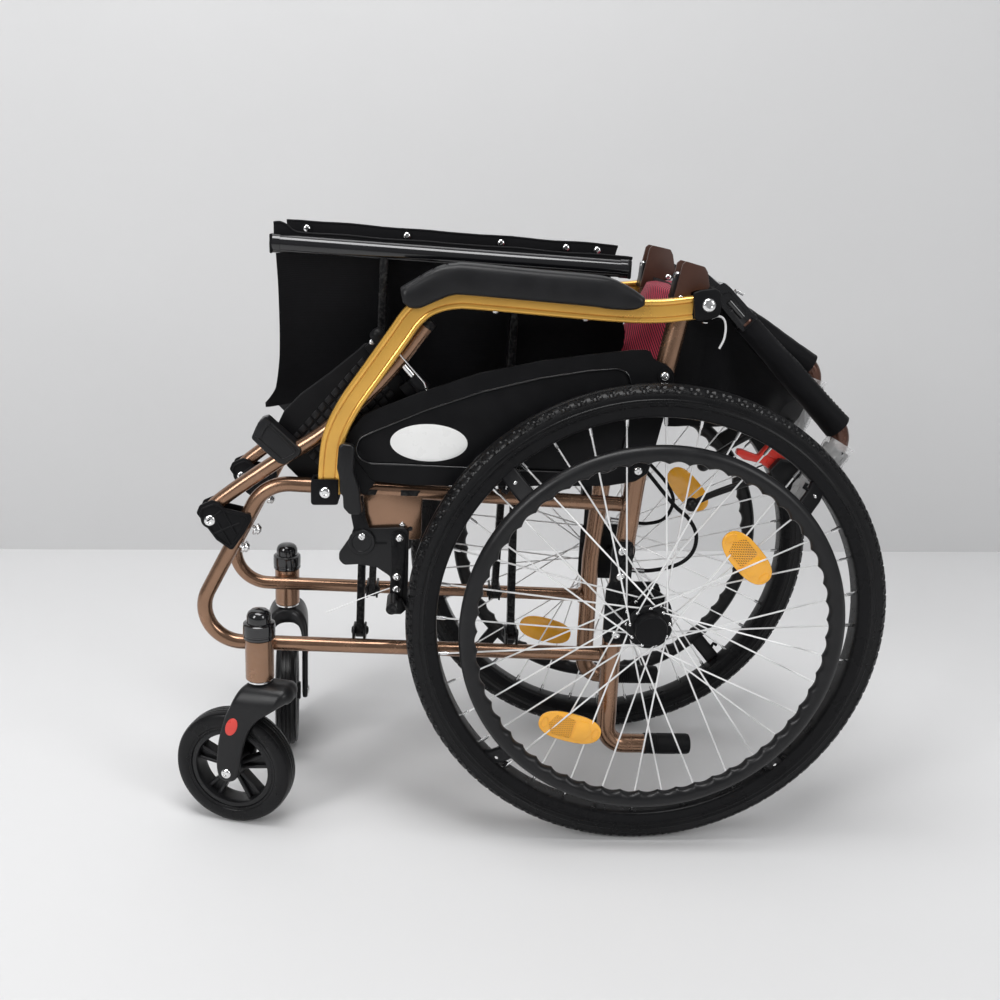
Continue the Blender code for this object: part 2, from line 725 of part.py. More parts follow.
def arm_pad(s):
    """The moulded pad, which wraps the tube's upper half and swells at its front."""
    outline = mm((-319, 706), (-258, 739), (-78, 731), (-37, 709), (-41, 697), (-67, 694), (-255, 703), (-297, 683), (-312, 684))
    body = softened(plate(rounded(outline, 0.006, True, 30), between(s, 0.109, 0.157)), 0.005)
    return cut(body, arm_strip(s, 0.0142, (0.1246, 0.1414)))


def armrest(s):
    """One armrest on its rear pivot."""
    name = SIDE_NAME[s]
    hinge = pivot(f"armrest_axis_{name}", ARM_PIVOT + Vector((0.0, s * ARM_Y, 0.0)), CHAIR)
    part(f"arm_tube_{name}", arm_tube(s), GOLD, hinge)
    part(f"arm_pad_{name}", arm_pad(s), BLACK_PLASTIC, hinge)


# Footrests, stowed up over the front of the frame

PLATE_AWAY = Vector((math.cos(math.radians(PLATE_AWAY_DEG)), 0.0, math.sin(math.radians(PLATE_AWAY_DEG))))
PLATE_UP = Vector((PLATE_AWAY.z, 0.0, -PLATE_AWAY.x))


def hanger_path(s):
    """The hanger's middle line, from its pivot to the footplate."""
    places = mm((-548, 415), (-541, 434), (-475, 484), (-412, 526), (-352, 573), (-318, 617), (-311.5, 626))
    return smooth_path(at_y(s * FRAME_Y, places), 2)


def hanger_point(s, away, up, y):
    """A point beside the footplate's hinge."""
    return PLATE_HINGE + PLATE_AWAY * away + PLATE_UP * up + Vector((0.0, s * y, 0.0))


def hanger(s):
    """The footrest's tube, with the footplate's pin at its end."""
    body = tube(hanger_path(s), TUBE_RADIUS)
    knuckle = rod((HANGER_PIVOT.x, s * 0.0986, HANGER_PIVOT.z), (HANGER_PIVOT.x, s * 0.1174, HANGER_PIVOT.z), 0.012, 14)
    pin = rod(hanger_point(s, 0, -0.050, FRAME_Y), hanger_point(s, 0, 0.043, FRAME_Y), 0.0040, 8)
    bore = rod((HANGER_PIVOT.x, s * 0.09, HANGER_PIVOT.z), (HANGER_PIVOT.x, s * 0.13, HANGER_PIVOT.z), 0.0044, 8)
    return cut(joined(body, knuckle, pin), bore)


def footplate_clip(s):
    """The block round the hanger that holds the stowed footplate."""
    outline = rounded(mm((-497, 517), (-450, 479), (-429, 498), (-486, 542)), 0.006, True, 30)
    body = plate(outline, between(s, 0.0962, 0.1215))
    return cut(body, tube(hanger_path(s), TUBE_RADIUS + CLEARANCE))


def footplate(s):
    """The plate with its two knuckles on the hanger's pin."""
    corners = [(0.012, 0.044), (0.160, 0.043), (0.192, 0.024), (0.196, -0.034), (0.184, -0.050), (0.012, -0.051)]
    places = [hanger_point(s, away, up, 0.0) for away, up in corners]
    outline = rounded([(place.x, place.z) for place in places], 0.012, True, 45)
    body = plate(outline, between(s, 0.0895, 0.0955))
    knuckles = []
    for low, high in ((0.017, 0.036), (-0.044, -0.022)):
        web = [(-0.007, low + 0.001), (0.022, low + 0.001), (0.022, high - 0.001), (-0.007, high - 0.001)]
        web_places = [hanger_point(s, away, up, 0.0) for away, up in web]
        knuckles.append(plate([(place.x, place.z) for place in web_places], between(s, 0.0892, 0.1070)))
        knuckles.append(rod(hanger_point(s, 0, low, FRAME_Y), hanger_point(s, 0, high, FRAME_Y), 0.0090, 12))
    bore = rod(hanger_point(s, 0, -0.08, FRAME_Y), hanger_point(s, 0, 0.08, FRAME_Y), 0.0046, 8)
    return cut(joined(body, *knuckles), bore)


def footrest(s):
    """One footrest on its pivot."""
    name = SIDE_NAME[s]
    swing = pivot(f"hanger_axis_{name}", HANGER_PIVOT + Vector((0.0, s * FRAME_Y, 0.0)), CHAIR)
    fold = pivot(f"footplate_axis_{name}", PLATE_HINGE - HANGER_PIVOT, swing)
    part(f"hanger_{name}", hanger(s), BRONZE, swing)
    part(f"footplate_clip_{name}", footplate_clip(s), BLACK_PLASTIC, swing)
    part(f"footplate_{name}", footplate(s), BLACK_PLASTIC, fold)


# Parking brakes

def brake_lever(s):
    """The steel lever, stepped outward above its pivot, with its handle."""
    foot_outline = mm((-374, 387), (-352, 386), (-345, 398), (-350, 420), (-357, 446), (-376, 446), (-380, 420))
    foot = plate(foot_outline, between(s, 0.1229, 0.1265))
    step = block((-0.3755, -0.3575), between(s, 0.1240, 0.1500), (0.4370, 0.4450))
    grip_outline = mm((-391, 517), (-385, 524), (-371, 524), (-361, 491), (-357, 437), (-376, 436), (-387, 490))
    grip = plate(grip_outline, between(s, 0.1455, 0.1580))
    bolt = rod((BRAKE_PIVOT.x, s * 0.1240, BRAKE_PIVOT.z), (BRAKE_PIVOT.x, s * 0.1300, BRAKE_PIVOT.z), 0.0065, 8)
    return joined(foot, step, grip, bolt)


def brake_shoe(s):
    """The arm with the cross bar that presses on the tyre."""
    arm = plate(mm((-326, 404), (-316, 408), (-306, 404), (-309, 360), (-313, 312), (-331, 312), (-325, 360)),
                between(s, 0.1229, 0.1265))
    bar = rod((-0.322, s * 0.1240, 0.320), (-0.322, s * 0.1650, 0.320), 0.0070, 10)
    bolt = rod((SHOE_PIVOT.x, s * 0.1240, SHOE_PIVOT.z), (SHOE_PIVOT.x, s * 0.1300, SHOE_PIVOT.z), 0.0065, 8)
    return joined(arm, bar, bolt)


def parking_brake(s):
    """One parking brake: lever and shoe on their own pivots."""
    name = SIDE_NAME[s]
    lever_axis = pivot(f"brake_lever_axis_{name}", BRAKE_PIVOT + Vector((0.0, s * 0.125, 0.0)), CHAIR)
    shoe_axis = pivot(f"brake_shoe_axis_{name}", SHOE_PIVOT + Vector((0.0, s * 0.125, 0.0)), CHAIR)
    part(f"brake_lever_{name}", brake_lever(s), BLACK_METAL, lever_axis)
    part(f"brake_shoe_{name}", brake_shoe(s), BLACK_METAL, shoe_axis)


# Push handles, each about its back hinge; X runs along the folded post, -Z towards the grip

def grip_line(s, distance):
    """A point on the grip's middle line, at a distance past the bend's corner."""
    return Vector((HANDLE_LENGTH + GRIP_TURN[0] * distance, s * FRAME_Y, GRIP_TURN[1] * distance))


def handle_post(s):
    """The upper back tube, bent at its end for the grip."""
    y = s * FRAME_Y
    corners = [Vector((0.0, y, 0.0)), Vector((HANDLE_LENGTH, y, 0.0)), grip_line(s, 0.117)]
    body = tube(rounded(corners, [0, HANDLE_BEND, 0]), HANDLE_TUBE)
    knuckle = rod((0.0, y - 0.0117, 0.0), (0.0, y + 0.0117, 0.0), 0.0120, 12)
    bore = rod((0.0, y - 0.03, 0.0), (0.0, y + 0.03, 0.0), 0.0045, 8)
    return cut(joined(body, knuckle), bore)


def push_grip(s):
    """The rubber grip, with the hand brake's clamp and housing in front of it."""
    grip = rod(grip_line(s, 0.040), grip_line(s, 0.121), GRIP_RADIUS, 12)
    clamp = rod(grip_line(s, 0.026), grip_line(s, 0.041), 0.0168, 12)
    housing_outline = mm(
        (268, -22), (288, -22), (292, -60), (290, -90), (274, -96), (244, -91), (242, -70), (256, -62), (262, -40),
    )
    housing = plate(housing_outline, between(s, 0.0795, 0.0916))
    boss = rod((0.279, s * 0.0850, -0.030), (0.279, s * 0.0965, -0.030), 0.0090, 10)
    lever_pin = rod((0.276, s * 0.0655, -0.078), (0.276, s * 0.0850, -0.078), 0.0032, 8)
    lock_pin = rod((0.250, s * 0.0655, -0.078), (0.250, s * 0.0850, -0.078), 0.0028, 8)
    bore = rod(grip_line(s, 0.0), grip_line(s, 0.1175), GRIP_BORE, 14)
    return joined(cut(joined(grip, clamp, housing, boss), bore), lever_pin, lock_pin)


def hand_brake_lever(s):
    """The bowed lever with a ball end."""
    outline = mm(
        (287, -80), (281, -88), (262, -104), (249, -124), (232, -156), (218, -190), (210, -187), (222, -152),
        (237, -117), (252, -93), (268, -70), (282, -68),
    )
    body = plate(outline, between(s, 0.0665, 0.0785))
    knob = ball((0.214, s * 0.0725, -0.192), 0.0095)
    bore = rod((0.276, s * 0.060, -0.078), (0.276, s * 0.090, -0.078), 0.0036, 8)
    return cut(joined(body, knob), bore)


def hand_brake_lock(s):
    """The small red catch of the hand brake."""
    outline = mm((202, -105), (199, -99), (216, -92), (221, -69), (251, -61), (258, -76), (250, -87), (232, -90), (214, -104))
    body = plate(outline, between(s, 0.0665, 0.0785))
    bore = rod((0.250, s * 0.060, -0.078), (0.250, s * 0.090, -0.078), 0.0032, 8)
    return cut(body, bore)


def upper_leaf(s):
    """The back cloth that hangs on one push handle: a sleeve round its post and a flat leaf."""
    y = s * FRAME_Y
    low, high = (-0.0020, 0.0020) if s == LEFT else (0.0040, 0.0080)
    leaf = block((0.034, 0.258), (s * 0.0961, -s * CLOTH_EDGE), (low, high))
    sleeve = rod((0.062, y, 0.0), (0.246, y, 0.0), 0.0130, 14, 0.0195)
    bore = rod((0.030, y, 0.0), (0.270, y, 0.0), GRIP_BORE, 14)
    return cut(joined(leaf, sleeve), bore)


def push_handle(s):
    """One push handle, folded down on its back hinge."""
    name = SIDE_NAME[s]
    hinge = pivot(f"back_fold_axis_{name}", BACK_HINGE, CHAIR, turn_y=-HANDLE_FOLDED_DEG[s])
    lever_axis = pivot(f"hand_brake_axis_{name}", (0.276, s * 0.072, -0.078), hinge)
    lock_axis = pivot(f"hand_lock_axis_{name}", (0.250, s * 0.072, -0.078), hinge)
    part(f"handle_post_{name}", handle_post(s), BRONZE, hinge, local=True)
    part(f"push_grip_{name}", push_grip(s), RUBBER, hinge, local=True)
    part(f"back_cloth_upper_{name}", upper_leaf(s), BLACK_CLOTH, hinge, local=True)
    lever = moved(hand_brake_lever(s), Matrix.Translation(-lever_axis.location))
    part(f"hand_brake_lever_{name}", lever, BLACK_METAL, lever_axis, local=True)
    lock = moved(hand_brake_lock(s), Matrix.Translation(-lock_axis.location))
    part(f"hand_brake_lock_{name}", lock, RED_PLASTIC, lock_axis, local=True)
    if s == LEFT:
        slider = pivot("back_centre_axis", (0.0, 0.0, 0.0), hinge)
        centre = block((0.034, 0.258), (-CLOTH_EDGE, CLOTH_EDGE), (-0.0092, -0.0056))
        part("back_cloth_upper_centre", centre, RED_MESH, slider, local=True)


# Lower back cloth; its leaves stand between the uprights and lean with them

LEAN = Matrix.Translation(UPRIGHT_FOOT) @ Matrix.Rotation(math.radians(LEAN_DEG), 4, "Y")
DRAPE_BOTTOM = 0.560


def drape_point(s, u, v):
    """The slack back cloth behind an upright, hanging in folds under the folded push handle."""
    x = 0.016 + 0.160 * u
    top = BACK_HINGE.z - 0.952 * (x - BACK_HINGE.x) - 0.024
    top = min(top, 0.712)
    z = DRAPE_BOTTOM + (top - DRAPE_BOTTOM) * v
    fold = 0.0045 * math.sin(2 * math.pi * (2.5 * u + 0.2)) * min(1.0, 4 * u)
    y = 0.0885 - 0.060 * u ** 1.5 + fold
    return Vector((x, s * y, z))


def lower_leaf(s):
    """One side's leaf of the lower back cloth, with the slack that hangs behind it."""
    low, high = (-0.0020, 0.0018) if s == LEFT else (0.0040, 0.0078)
    leaf = moved(block((low, high), (s * 0.0910, -s * CLOTH_EDGE), (0.045, 0.236)), LEAN)
    slack = sheet(lambda u, v: drape_point(s, u, v), 12, 3, 0.0035)
    bridge = moved(block((low, 0.0300), (s * 0.0850, s * 0.0905), (0.078, 0.226)), LEAN)
    return joined(leaf, bridge, slack)


def lower_centre_point(u, v):
    """The middle leaf of the lower back cloth, which bulges forwards."""
    y = CLOTH_EDGE * (2 * u - 1)
    height = 0.045 + 0.200 * v
    bulge = 0.060 * math.cos(math.pi * (u - 0.5)) * math.sin(math.pi * (0.12 + 0.76 * v))
    return LEAN @ Vector((-0.0065 - bulge, y, height))


def lower_back_cloth():
    """The three leaves of the lower back cloth."""
    for s in (LEFT, RIGHT):
        part(f"back_cloth_lower_{SIDE_NAME[s]}", lower_leaf(s), BLACK_CLOTH, CHAIR)
    slider = pivot("lower_back_centre_axis", (0.0, 0.0, 0.6), CHAIR)
    part("back_cloth_lower_centre", sheet(lower_centre_point, 10, 6, 0.0035), RED_MESH, slider)


# Cross brace and seat

def brace_bar(s, lower_x, upper_x):
    """A flat bar from a lower pivot on side s up to the seat rail on the other side."""
    start = Vector((lower_x, s * BRACE_Y, BRACE_PIVOT_Z))
    end = Vector((upper_x, -s * BRACE_Y, rail_height(upper_x)))
    along = end - start
    across = Vector((0.0, along.z, -along.y)).normalized()
    shell = bmesh.new()
    bmesh.ops.create_cube(shell, size=1.0)
    frame = Matrix.Translation((start + end) / 2) @ Matrix((
        (BAR_WIDTH, across.x * BAR_DEPTH, along.x, 0.0),
        (0.0, across.y * BAR_DEPTH, along.y, 0.0),
        (0.0, across.z * BAR_DEPTH, along.z, 0.0),
        (0.0, 0.0, 0.0, 1.0),
    ))
    bar = from_bmesh(shell, frame)
    half = Vector((BAR_WIDTH / 2, 0.0, 0.0))
    foot = rod(start - half, start + half, BAR_DEPTH / 2, 12)
    return joined(bar, foot)


def cross_arm(s, lower_x, upper_x):
    """One half of the cross brace: two bars from side s and the seat rail that they carry."""
    rail_ends = [Vector((x, -s * BRACE_Y, rail_height(x))) for x in (RAIL_FRONT, RAIL_REAR)]
    arm = joined(
        rod(rail_ends[0], rail_ends[1], RAIL_RADIUS, 12),
        brace_bar(s, lower_x[0], upper_x[0]), brace_bar(s, lower_x[1], upper_x[1]),
    )
    pivots = [
        rod((x - 0.02, s * BRACE_Y, BRACE_PIVOT_Z), (x + 0.02, s * BRACE_Y, BRACE_PIVOT_Z), 0.0043, 10)
        for x in lower_x
    ]
    return cut(arm, *pivots)


def cross_brace():
    """Both halves of the cross brace; the first carries the pins of their middle pivots."""
    left_pivot = pivot("arm_a_axis", (0.0, -BRACE_Y, BRACE_PIVOT_Z), CHAIR)
    centre = pivot("arm_b_axis", (0.0, BRACE_Y, BRACE_CENTRE_Z - BRACE_PIVOT_Z), left_pivot)
    spans = ((-0.368, -0.3395), (-0.187, -0.164))
    pins = [rod((a, 0.0, BRACE_CENTRE_Z), (b, 0.0, BRACE_CENTRE_Z), 0.0050, 10) for a, b in spans]
    arm_a = joined(cross_arm(LEFT, ARM_A_LOWER_X, ARM_A_UPPER_X), *pins)
    bores = [rod((a - 0.01, 0.0, BRACE_CENTRE_Z), (b + 0.01, 0.0, BRACE_CENTRE_Z), 0.0054, 10) for a, b in spans]
    arm_b = cut(cross_arm(RIGHT, ARM_B_LOWER_X, ARM_B_UPPER_X), *bores)
    part("cross_arm_a", arm_a, BLACK_METAL, left_pivot)
    part("cross_arm_b", arm_b, BLACK_METAL, centre)
    part("seat_sling", seat_sling(), BLACK_CLOTH, left_pivot)


SLING_SECTION = ((0.0617, 0.742), (0.0535, 0.730), (0.0400, 0.700), (0.0280, 0.660), (0.0130, 0.610), (0.0045, 0.572), (0.0, 0.5585))


def sling_point(u, v):
    """The seat cloth: u runs along the rails, v across from the left rail to the right one."""
    x = -0.473 + 0.388 * u
    side = -1 if v < 0.5 else 1
    place = (1 - abs(2 * v - 1)) * (len(SLING_SECTION) - 1)
    index = min(int(place), len(SLING_SECTION) - 2)
    share = place - index
    low, high = SLING_SECTION[index], SLING_SECTION[index + 1]
    y = low[0] + (high[0] - low[0]) * share
    z = low[1] + (high[1] - low[1]) * share
    ripple = 0.0022 * math.sin(5 * math.pi * u + 2.0 * v) * math.sin(math.pi * place / (len(SLING_SECTION) - 1))
    return Vector((x, side * y + ripple, z + RAIL_SLOPE * (x - RAIL_MIDDLE_X)))


def seat_sling():
    """The seat cloth hanging folded between the rails, with a stiff strip along each rail."""
    cloth = sheet(sling_point, 7, 12, 0.0030)
    strips = []
    for s in (LEFT, RIGHT):
        front, rear = RAIL_FRONT, -0.035
        outline = [
            (front, rail_height(front) - 0.001), (rear, rail_height(rear) - 0.001),
            (rear, rail_height(rear) + 0.016), (front, rail_height(front) + 0.025),
        ]
        strips.append(plate(outline, between(s, 0.0600, 0.0633)))
    return joined(cloth, *strips)


def build_chair():
    """Every part of the chair."""
    for s in (LEFT, RIGHT):
        name = SIDE_NAME[s]
        part(f"side_frame_{name}", side_frame(s), BRONZE, CHAIR)
        part(f"axle_plate_{name}", axle_plate(s), BLACK_METAL, CHAIR)
        part(f"arm_bracket_{name}", arm_bracket(s), BLACK_PLASTIC, CHAIR)
        part(f"tipping_plug_{name}", tipping_plug(s), RUBBER, CHAIR)
        part(f"side_panel_{name}", side_panel(s), BLACK_PLASTIC, CHAIR)
        part(f"brake_cable_{name}", brake_cable(s), RUBBER, CHAIR)
        rear_wheel(s)
        caster(s)
        armrest(s)
        footrest(s)
        parking_brake(s)
        push_handle(s)
    lower_back_cloth()
    cross_brace()


build_chair()
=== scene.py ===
"""A folding wheelchair, folded flat sideways, with its backrest folded down behind it.

The chair faces -X and its user's left is -Y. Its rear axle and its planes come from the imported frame.
Outlines are in millimetres behind the rear axle and above the ground; places across are in metres.
"""
import math

import bmesh
import bpy
from mathutils import Matrix, Vector, noise


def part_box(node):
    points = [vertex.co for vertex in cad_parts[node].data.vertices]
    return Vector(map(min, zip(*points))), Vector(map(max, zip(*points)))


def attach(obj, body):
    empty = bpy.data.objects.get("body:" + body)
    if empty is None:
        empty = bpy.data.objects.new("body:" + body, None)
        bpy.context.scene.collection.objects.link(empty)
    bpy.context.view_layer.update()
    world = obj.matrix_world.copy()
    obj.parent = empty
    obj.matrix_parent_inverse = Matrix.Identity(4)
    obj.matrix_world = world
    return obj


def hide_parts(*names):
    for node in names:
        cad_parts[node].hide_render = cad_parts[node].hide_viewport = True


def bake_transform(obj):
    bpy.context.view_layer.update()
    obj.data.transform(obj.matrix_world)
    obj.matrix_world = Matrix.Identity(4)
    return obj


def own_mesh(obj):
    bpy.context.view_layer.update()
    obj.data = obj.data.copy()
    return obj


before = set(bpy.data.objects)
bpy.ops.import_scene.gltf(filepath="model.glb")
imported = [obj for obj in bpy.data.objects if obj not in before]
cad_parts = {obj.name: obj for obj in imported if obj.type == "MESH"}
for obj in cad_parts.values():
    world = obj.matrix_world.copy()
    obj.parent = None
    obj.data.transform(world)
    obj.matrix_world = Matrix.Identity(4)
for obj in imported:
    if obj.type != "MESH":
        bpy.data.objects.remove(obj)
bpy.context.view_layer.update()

LEFT = -1
RIGHT = 1
SIDES = {LEFT: "left", RIGHT: "right"}


def middle(node):
    """The middle of a CAD node's box."""
    low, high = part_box(node)
    return (low + high) / 2


AXLE = middle("hub_cap_left")
WHEEL_CENTRE = Vector((AXLE.x, 0, AXLE.z))
WHEEL_Y = abs(middle("rim_left").y)
HANDRIM_Y = 0.1935
FRAME_Y = abs(middle("tipping_plug_left").y)
ARM_Y = abs(middle("arm_tube_left").y)
BRACE_Y = 0.074
LOOP_RADIUS = 0.0095
POST_RADIUS = 0.0128
TIPPING_Z = 109
BRACE_PIVOT_Z = 253
BRACE_PIVOTS = {LEFT: (-366, -166), RIGHT: (-358.5, -179.5)}
HANGER_PIVOT = (-548, 415)
CASTER_STEM_Y = 0.13

# Camera, from the photograph's perspective
CAMERA_PLACE = Vector((-0.1325, -1.3717, 0.8101))
CAMERA_YAW = math.radians(4.12)
CAMERA_PITCH = math.radians(15.97)
CAMERA_ROLL = math.radians(-2.69)
CAMERA_LENS = 37.72
SENSOR_WIDTH = 36.0


# Places

def chair(x, y, z):
    """A point from millimetres behind the axle and above the ground, and metres across."""
    return Vector((AXLE.x + x / 1000, y, z / 1000))


def line(pairs, y=0.0):
    """Pairs of millimetres as points of one plane across the chair."""
    return [chair(x, y, z) for x, z in pairs]


def flat(pairs, unit=1.0):
    """Pairs in metres, or in parts of one, as points of the plane where Y is 0."""
    return [Vector((x / unit, 0, z / unit)) for x, z in pairs]


def behind(first, last):
    """Two X values, from millimetres behind the axle."""
    return chair(first, 0, 0).x, chair(last, 0, 0).x


def placed(place, degrees, axis):
    """A turn about one of the world's axes, and then a shift to a place."""
    return Matrix.Translation(place) @ Matrix.Rotation(math.radians(degrees), 4, axis)


def across(s, inner, outer):
    """Two Y values on side s, from distances to the middle plane."""
    return s * inner, s * outer


def rounded(points, radius, closed=False, step=8):
    """The path with its corners turned into arcs."""
    count = len(points)
    radii = radius if isinstance(radius, (list, tuple)) else [radius] * count
    result = []
    for index, corner in enumerate(points):
        is_end = not closed and index in (0, count - 1)
        back = points[index - 1] - corner
        ahead = points[(index + 1) % count] - corner
        turn = 0.0 if is_end else math.pi - back.angle(ahead)
        if radii[index] <= 0 or turn < 0.03:
            result.append(corner)
            continue
        reach = min(radii[index] * math.tan(turn / 2), 0.48 * back.length, 0.48 * ahead.length)
        bend = reach / math.tan(turn / 2)
        centre = corner + (back.normalized() + ahead.normalized()).normalized() * (bend / math.cos(turn / 2))
        first = corner + back.normalized() * reach - centre
        last = corner + ahead.normalized() * reach - centre
        steps = max(2, round(math.degrees(turn) / step))
        for number in range(steps + 1):
            share = number / steps
            spoke = first * math.sin((1 - share) * turn) + last * math.sin(share * turn)
            result.append(centre + spoke / math.sin(turn))
    return result


def smooth_path(points, steps=6):
    """Points of a smooth curve through the given ones."""
    path = [2 * points[0] - points[1], *points, 2 * points[-1] - points[-2]]
    result = []
    for index in range(1, len(path) - 2):
        a, b, c, d = path[index - 1:index + 3]
        for number in range(steps):
            t = number / steps
            bend = (2 * a - 5 * b + 4 * c - d) * (t * t / 2)
            twist = (3 * b - a - 3 * c + d) * (t ** 3 / 2)
            result.append(b + (c - a) * (t / 2) + bend + twist)
    result.append(path[-2])
    return result


def blended(low, high, share):
    """A value between two others, with a soft start and end."""
    share = min(1.0, max(0.0, share))
    return low + (high - low) * share * share * (3 - 2 * share)


def wander(place, scale, seed=0.0):
    """Smooth noise from -1 to 1 at a place."""
    return noise.noise(Vector(place) * scale + Vector((seed, seed, seed)))


# Shapes

def circle(radius, sides=20):
    """A round section."""
    return [
        (radius * math.cos(math.tau * k / sides), radius * math.sin(math.tau * k / sides))
        for k in range(sides)
    ]


def oval(half_width, half_height, corner, steps=5):
    """A rounded rectangle as a section."""
    result = []
    for number, (a, b) in enumerate(((1, 1), (-1, 1), (-1, -1), (1, -1))):
        for k in range(steps + 1):
            angle = math.pi / 2 * (number + k / steps)
            result.append((
                a * (half_width - corner) + corner * math.cos(angle),
                b * (half_height - corner) + corner * math.sin(angle),
            ))
    return result


def loft(rings, closed=False):
    """A solid through rings of points, with its ends filled unless it closes on itself."""
    shell = bmesh.new()
    rows = [[shell.verts.new(place) for place in ring] for ring in rings]
    bridges = list(zip(rows, rows[1:] + rows[:1]))
    for row, ahead in bridges if closed else bridges[:-1]:
        for k in range(len(row)):
            n = (k + 1) % len(row)
            shell.faces.new((row[k], row[n], ahead[n], ahead[k]))
    if not closed:
        shell.faces.new(rows[0][::-1])
        shell.faces.new(rows[-1])
    return shell


def sweep(path, section, closed=False, size=None):
    """A solid whose section follows a path; size scales it along the way."""
    count = len(path)
    side = None
    rings = []
    for index, place in enumerate(path):
        following = path[(index + 1) % count] if closed or index + 1 < count else place
        before = path[index - 1] if closed or index > 0 else place
        tangent = (following - before).normalized()
        if side is None:
            side = Vector((0, 1, 0)) if abs(tangent.y) < 0.9 else Vector((1, 0, 0))
        side = (side - tangent * side.dot(tangent)).normalized()
        up = tangent.cross(side)
        scale = size(index / max(1, count - 1)) if size else 1.0
        rings.append([place + side * a * scale + up * b * scale for a, b in section])
    return loft(rings, closed)


def tube(path, radius, sides=20, closed=False):
    """A round bar along a path."""
    return sweep(path, circle(radius, sides), closed)


def rod(start, end, radius, sides=20):
    """A straight round bar."""
    return tube([Vector(start), Vector(end)], radius, sides)


def cross_rod(s, place, inner, outer, radius, sides):
    """A round bar across the chair, at a place in millimetres."""
    return rod(chair(place[0], s * inner, place[1]), chair(place[0], s * outer, place[1]), radius, sides)


def skin(shape, columns, rows, wrap_u=False, wrap_v=False):
    """A surface of four-sided faces; shape gives a point for two shares from 0 to 1."""
    shell = bmesh.new()
    grid = []
    for i in range(columns if wrap_u else columns + 1):
        grid.append(
            [shell.verts.new(shape(i / columns, j / rows)) for j in range(rows if wrap_v else rows + 1)]
        )
    for i in range(columns):
        for j in range(rows):
            ahead = grid[(i + 1) % len(grid)]
            here = grid[i]
            n = (j + 1) % len(here)
            shell.faces.new((here[j], ahead[j], ahead[n], here[n]))
    return shell


def lathe(profile, steps=40, closed=False):
    """A profile of radii and heights turned about Z."""
    count = len(profile)

    def shape(u, v):
        radius, height = profile[round(v * (count if closed else count - 1)) % count]
        return Vector((radius * math.cos(math.tau * u), radius * math.sin(math.tau * u), height))

    shell = skin(shape, steps, count if closed else count - 1, wrap_u=True, wrap_v=closed)
    bmesh.ops.remove_doubles(shell, verts=shell.verts, dist=0.000002)
    return shell


def stood(shell, place, axis):
    """The shell with its Z turned to an axis at a place."""
    turn = Vector(axis).to_track_quat("Z", "Y").to_matrix().to_4x4()
    bmesh.ops.transform(shell, matrix=Matrix.Translation(place) @ turn, verts=shell.verts)
    return shell


def turned(profile, steps, place, axis, closed=False):
    """A profile turned about an axis at a place."""
    return stood(lathe(profile, steps, closed), place, axis)


def moved(shell, matrix):
    """The shell after a turn or a shift."""
    bmesh.ops.transform(shell, matrix=matrix, verts=shell.verts)
    return shell


def eased(shell, width, segments=2, angle=30):
    """The shell with its sharp edges rounded off."""
    bmesh.ops.recalc_face_normals(shell, faces=shell.faces)
    sharp = [
        e
        for e in shell.edges
        if len(e.link_faces) == 2 and e.calc_face_angle(0.0) > math.radians(angle)
    ]
    bmesh.ops.bevel(
        shell, geom=sharp, offset=width, segments=segments, profile=0.5, affect="EDGES", clamp_overlap=True,
    )
    return shell


def slab(points, y_span, edge=0.0008, segments=2):
    """A flat piece: an outline in X and Z between two values of Y."""
    shell = bmesh.new()
    face = shell.faces.new([shell.verts.new((p.x, y_span[0], p.z)) for p in points])
    grown = bmesh.ops.extrude_face_region(shell, geom=[face])["geom"]
    far = [v for v in grown if isinstance(v, bmesh.types.BMVert)]
    bmesh.ops.translate(shell, verts=far, vec=(0, y_span[1] - y_span[0], 0))
    return eased(shell, edge, segments) if edge else shell


def cut_plate(outline, radius, y_span, edge=0.0008, segments=2, step=20):
    """A flat piece with rounded corners, from an outline in millimetres."""
    return slab(rounded(line(outline), radius, True, step), y_span, edge, segments)


def bead(points, y, radius, sides):
    """A closed round bead along an outline, at one place across the chair."""
    return tube([p + Vector((0, y, 0)) for p in points], radius, sides, closed=True)


def box(x_span, y_span, z_span, edge=0.0006):
    """A block between pairs of world values."""
    corners = [Vector((x_span[i], 0, z_span[j])) for i, j in ((0, 0), (1, 0), (1, 1), (0, 1))]
    return slab(corners, y_span, edge)


def along_loop(points, count):
    """Points at even steps round a closed outline."""
    lengths = [(points[k] - points[k - 1]).length for k in range(len(points))]
    total = sum(lengths)
    result = []
    index = 0
    walked = 0.0
    for number in range(count):
        target = total * number / count
        while walked + lengths[(index + 1) % len(points)] < target:
            index += 1
            walked += lengths[index % len(points)]
        step = lengths[(index + 1) % len(points)]
        share = (target - walked) / step if step else 0.0
        result.append(points[index % len(points)].lerp(points[(index + 1) % len(points)], share))
    return result


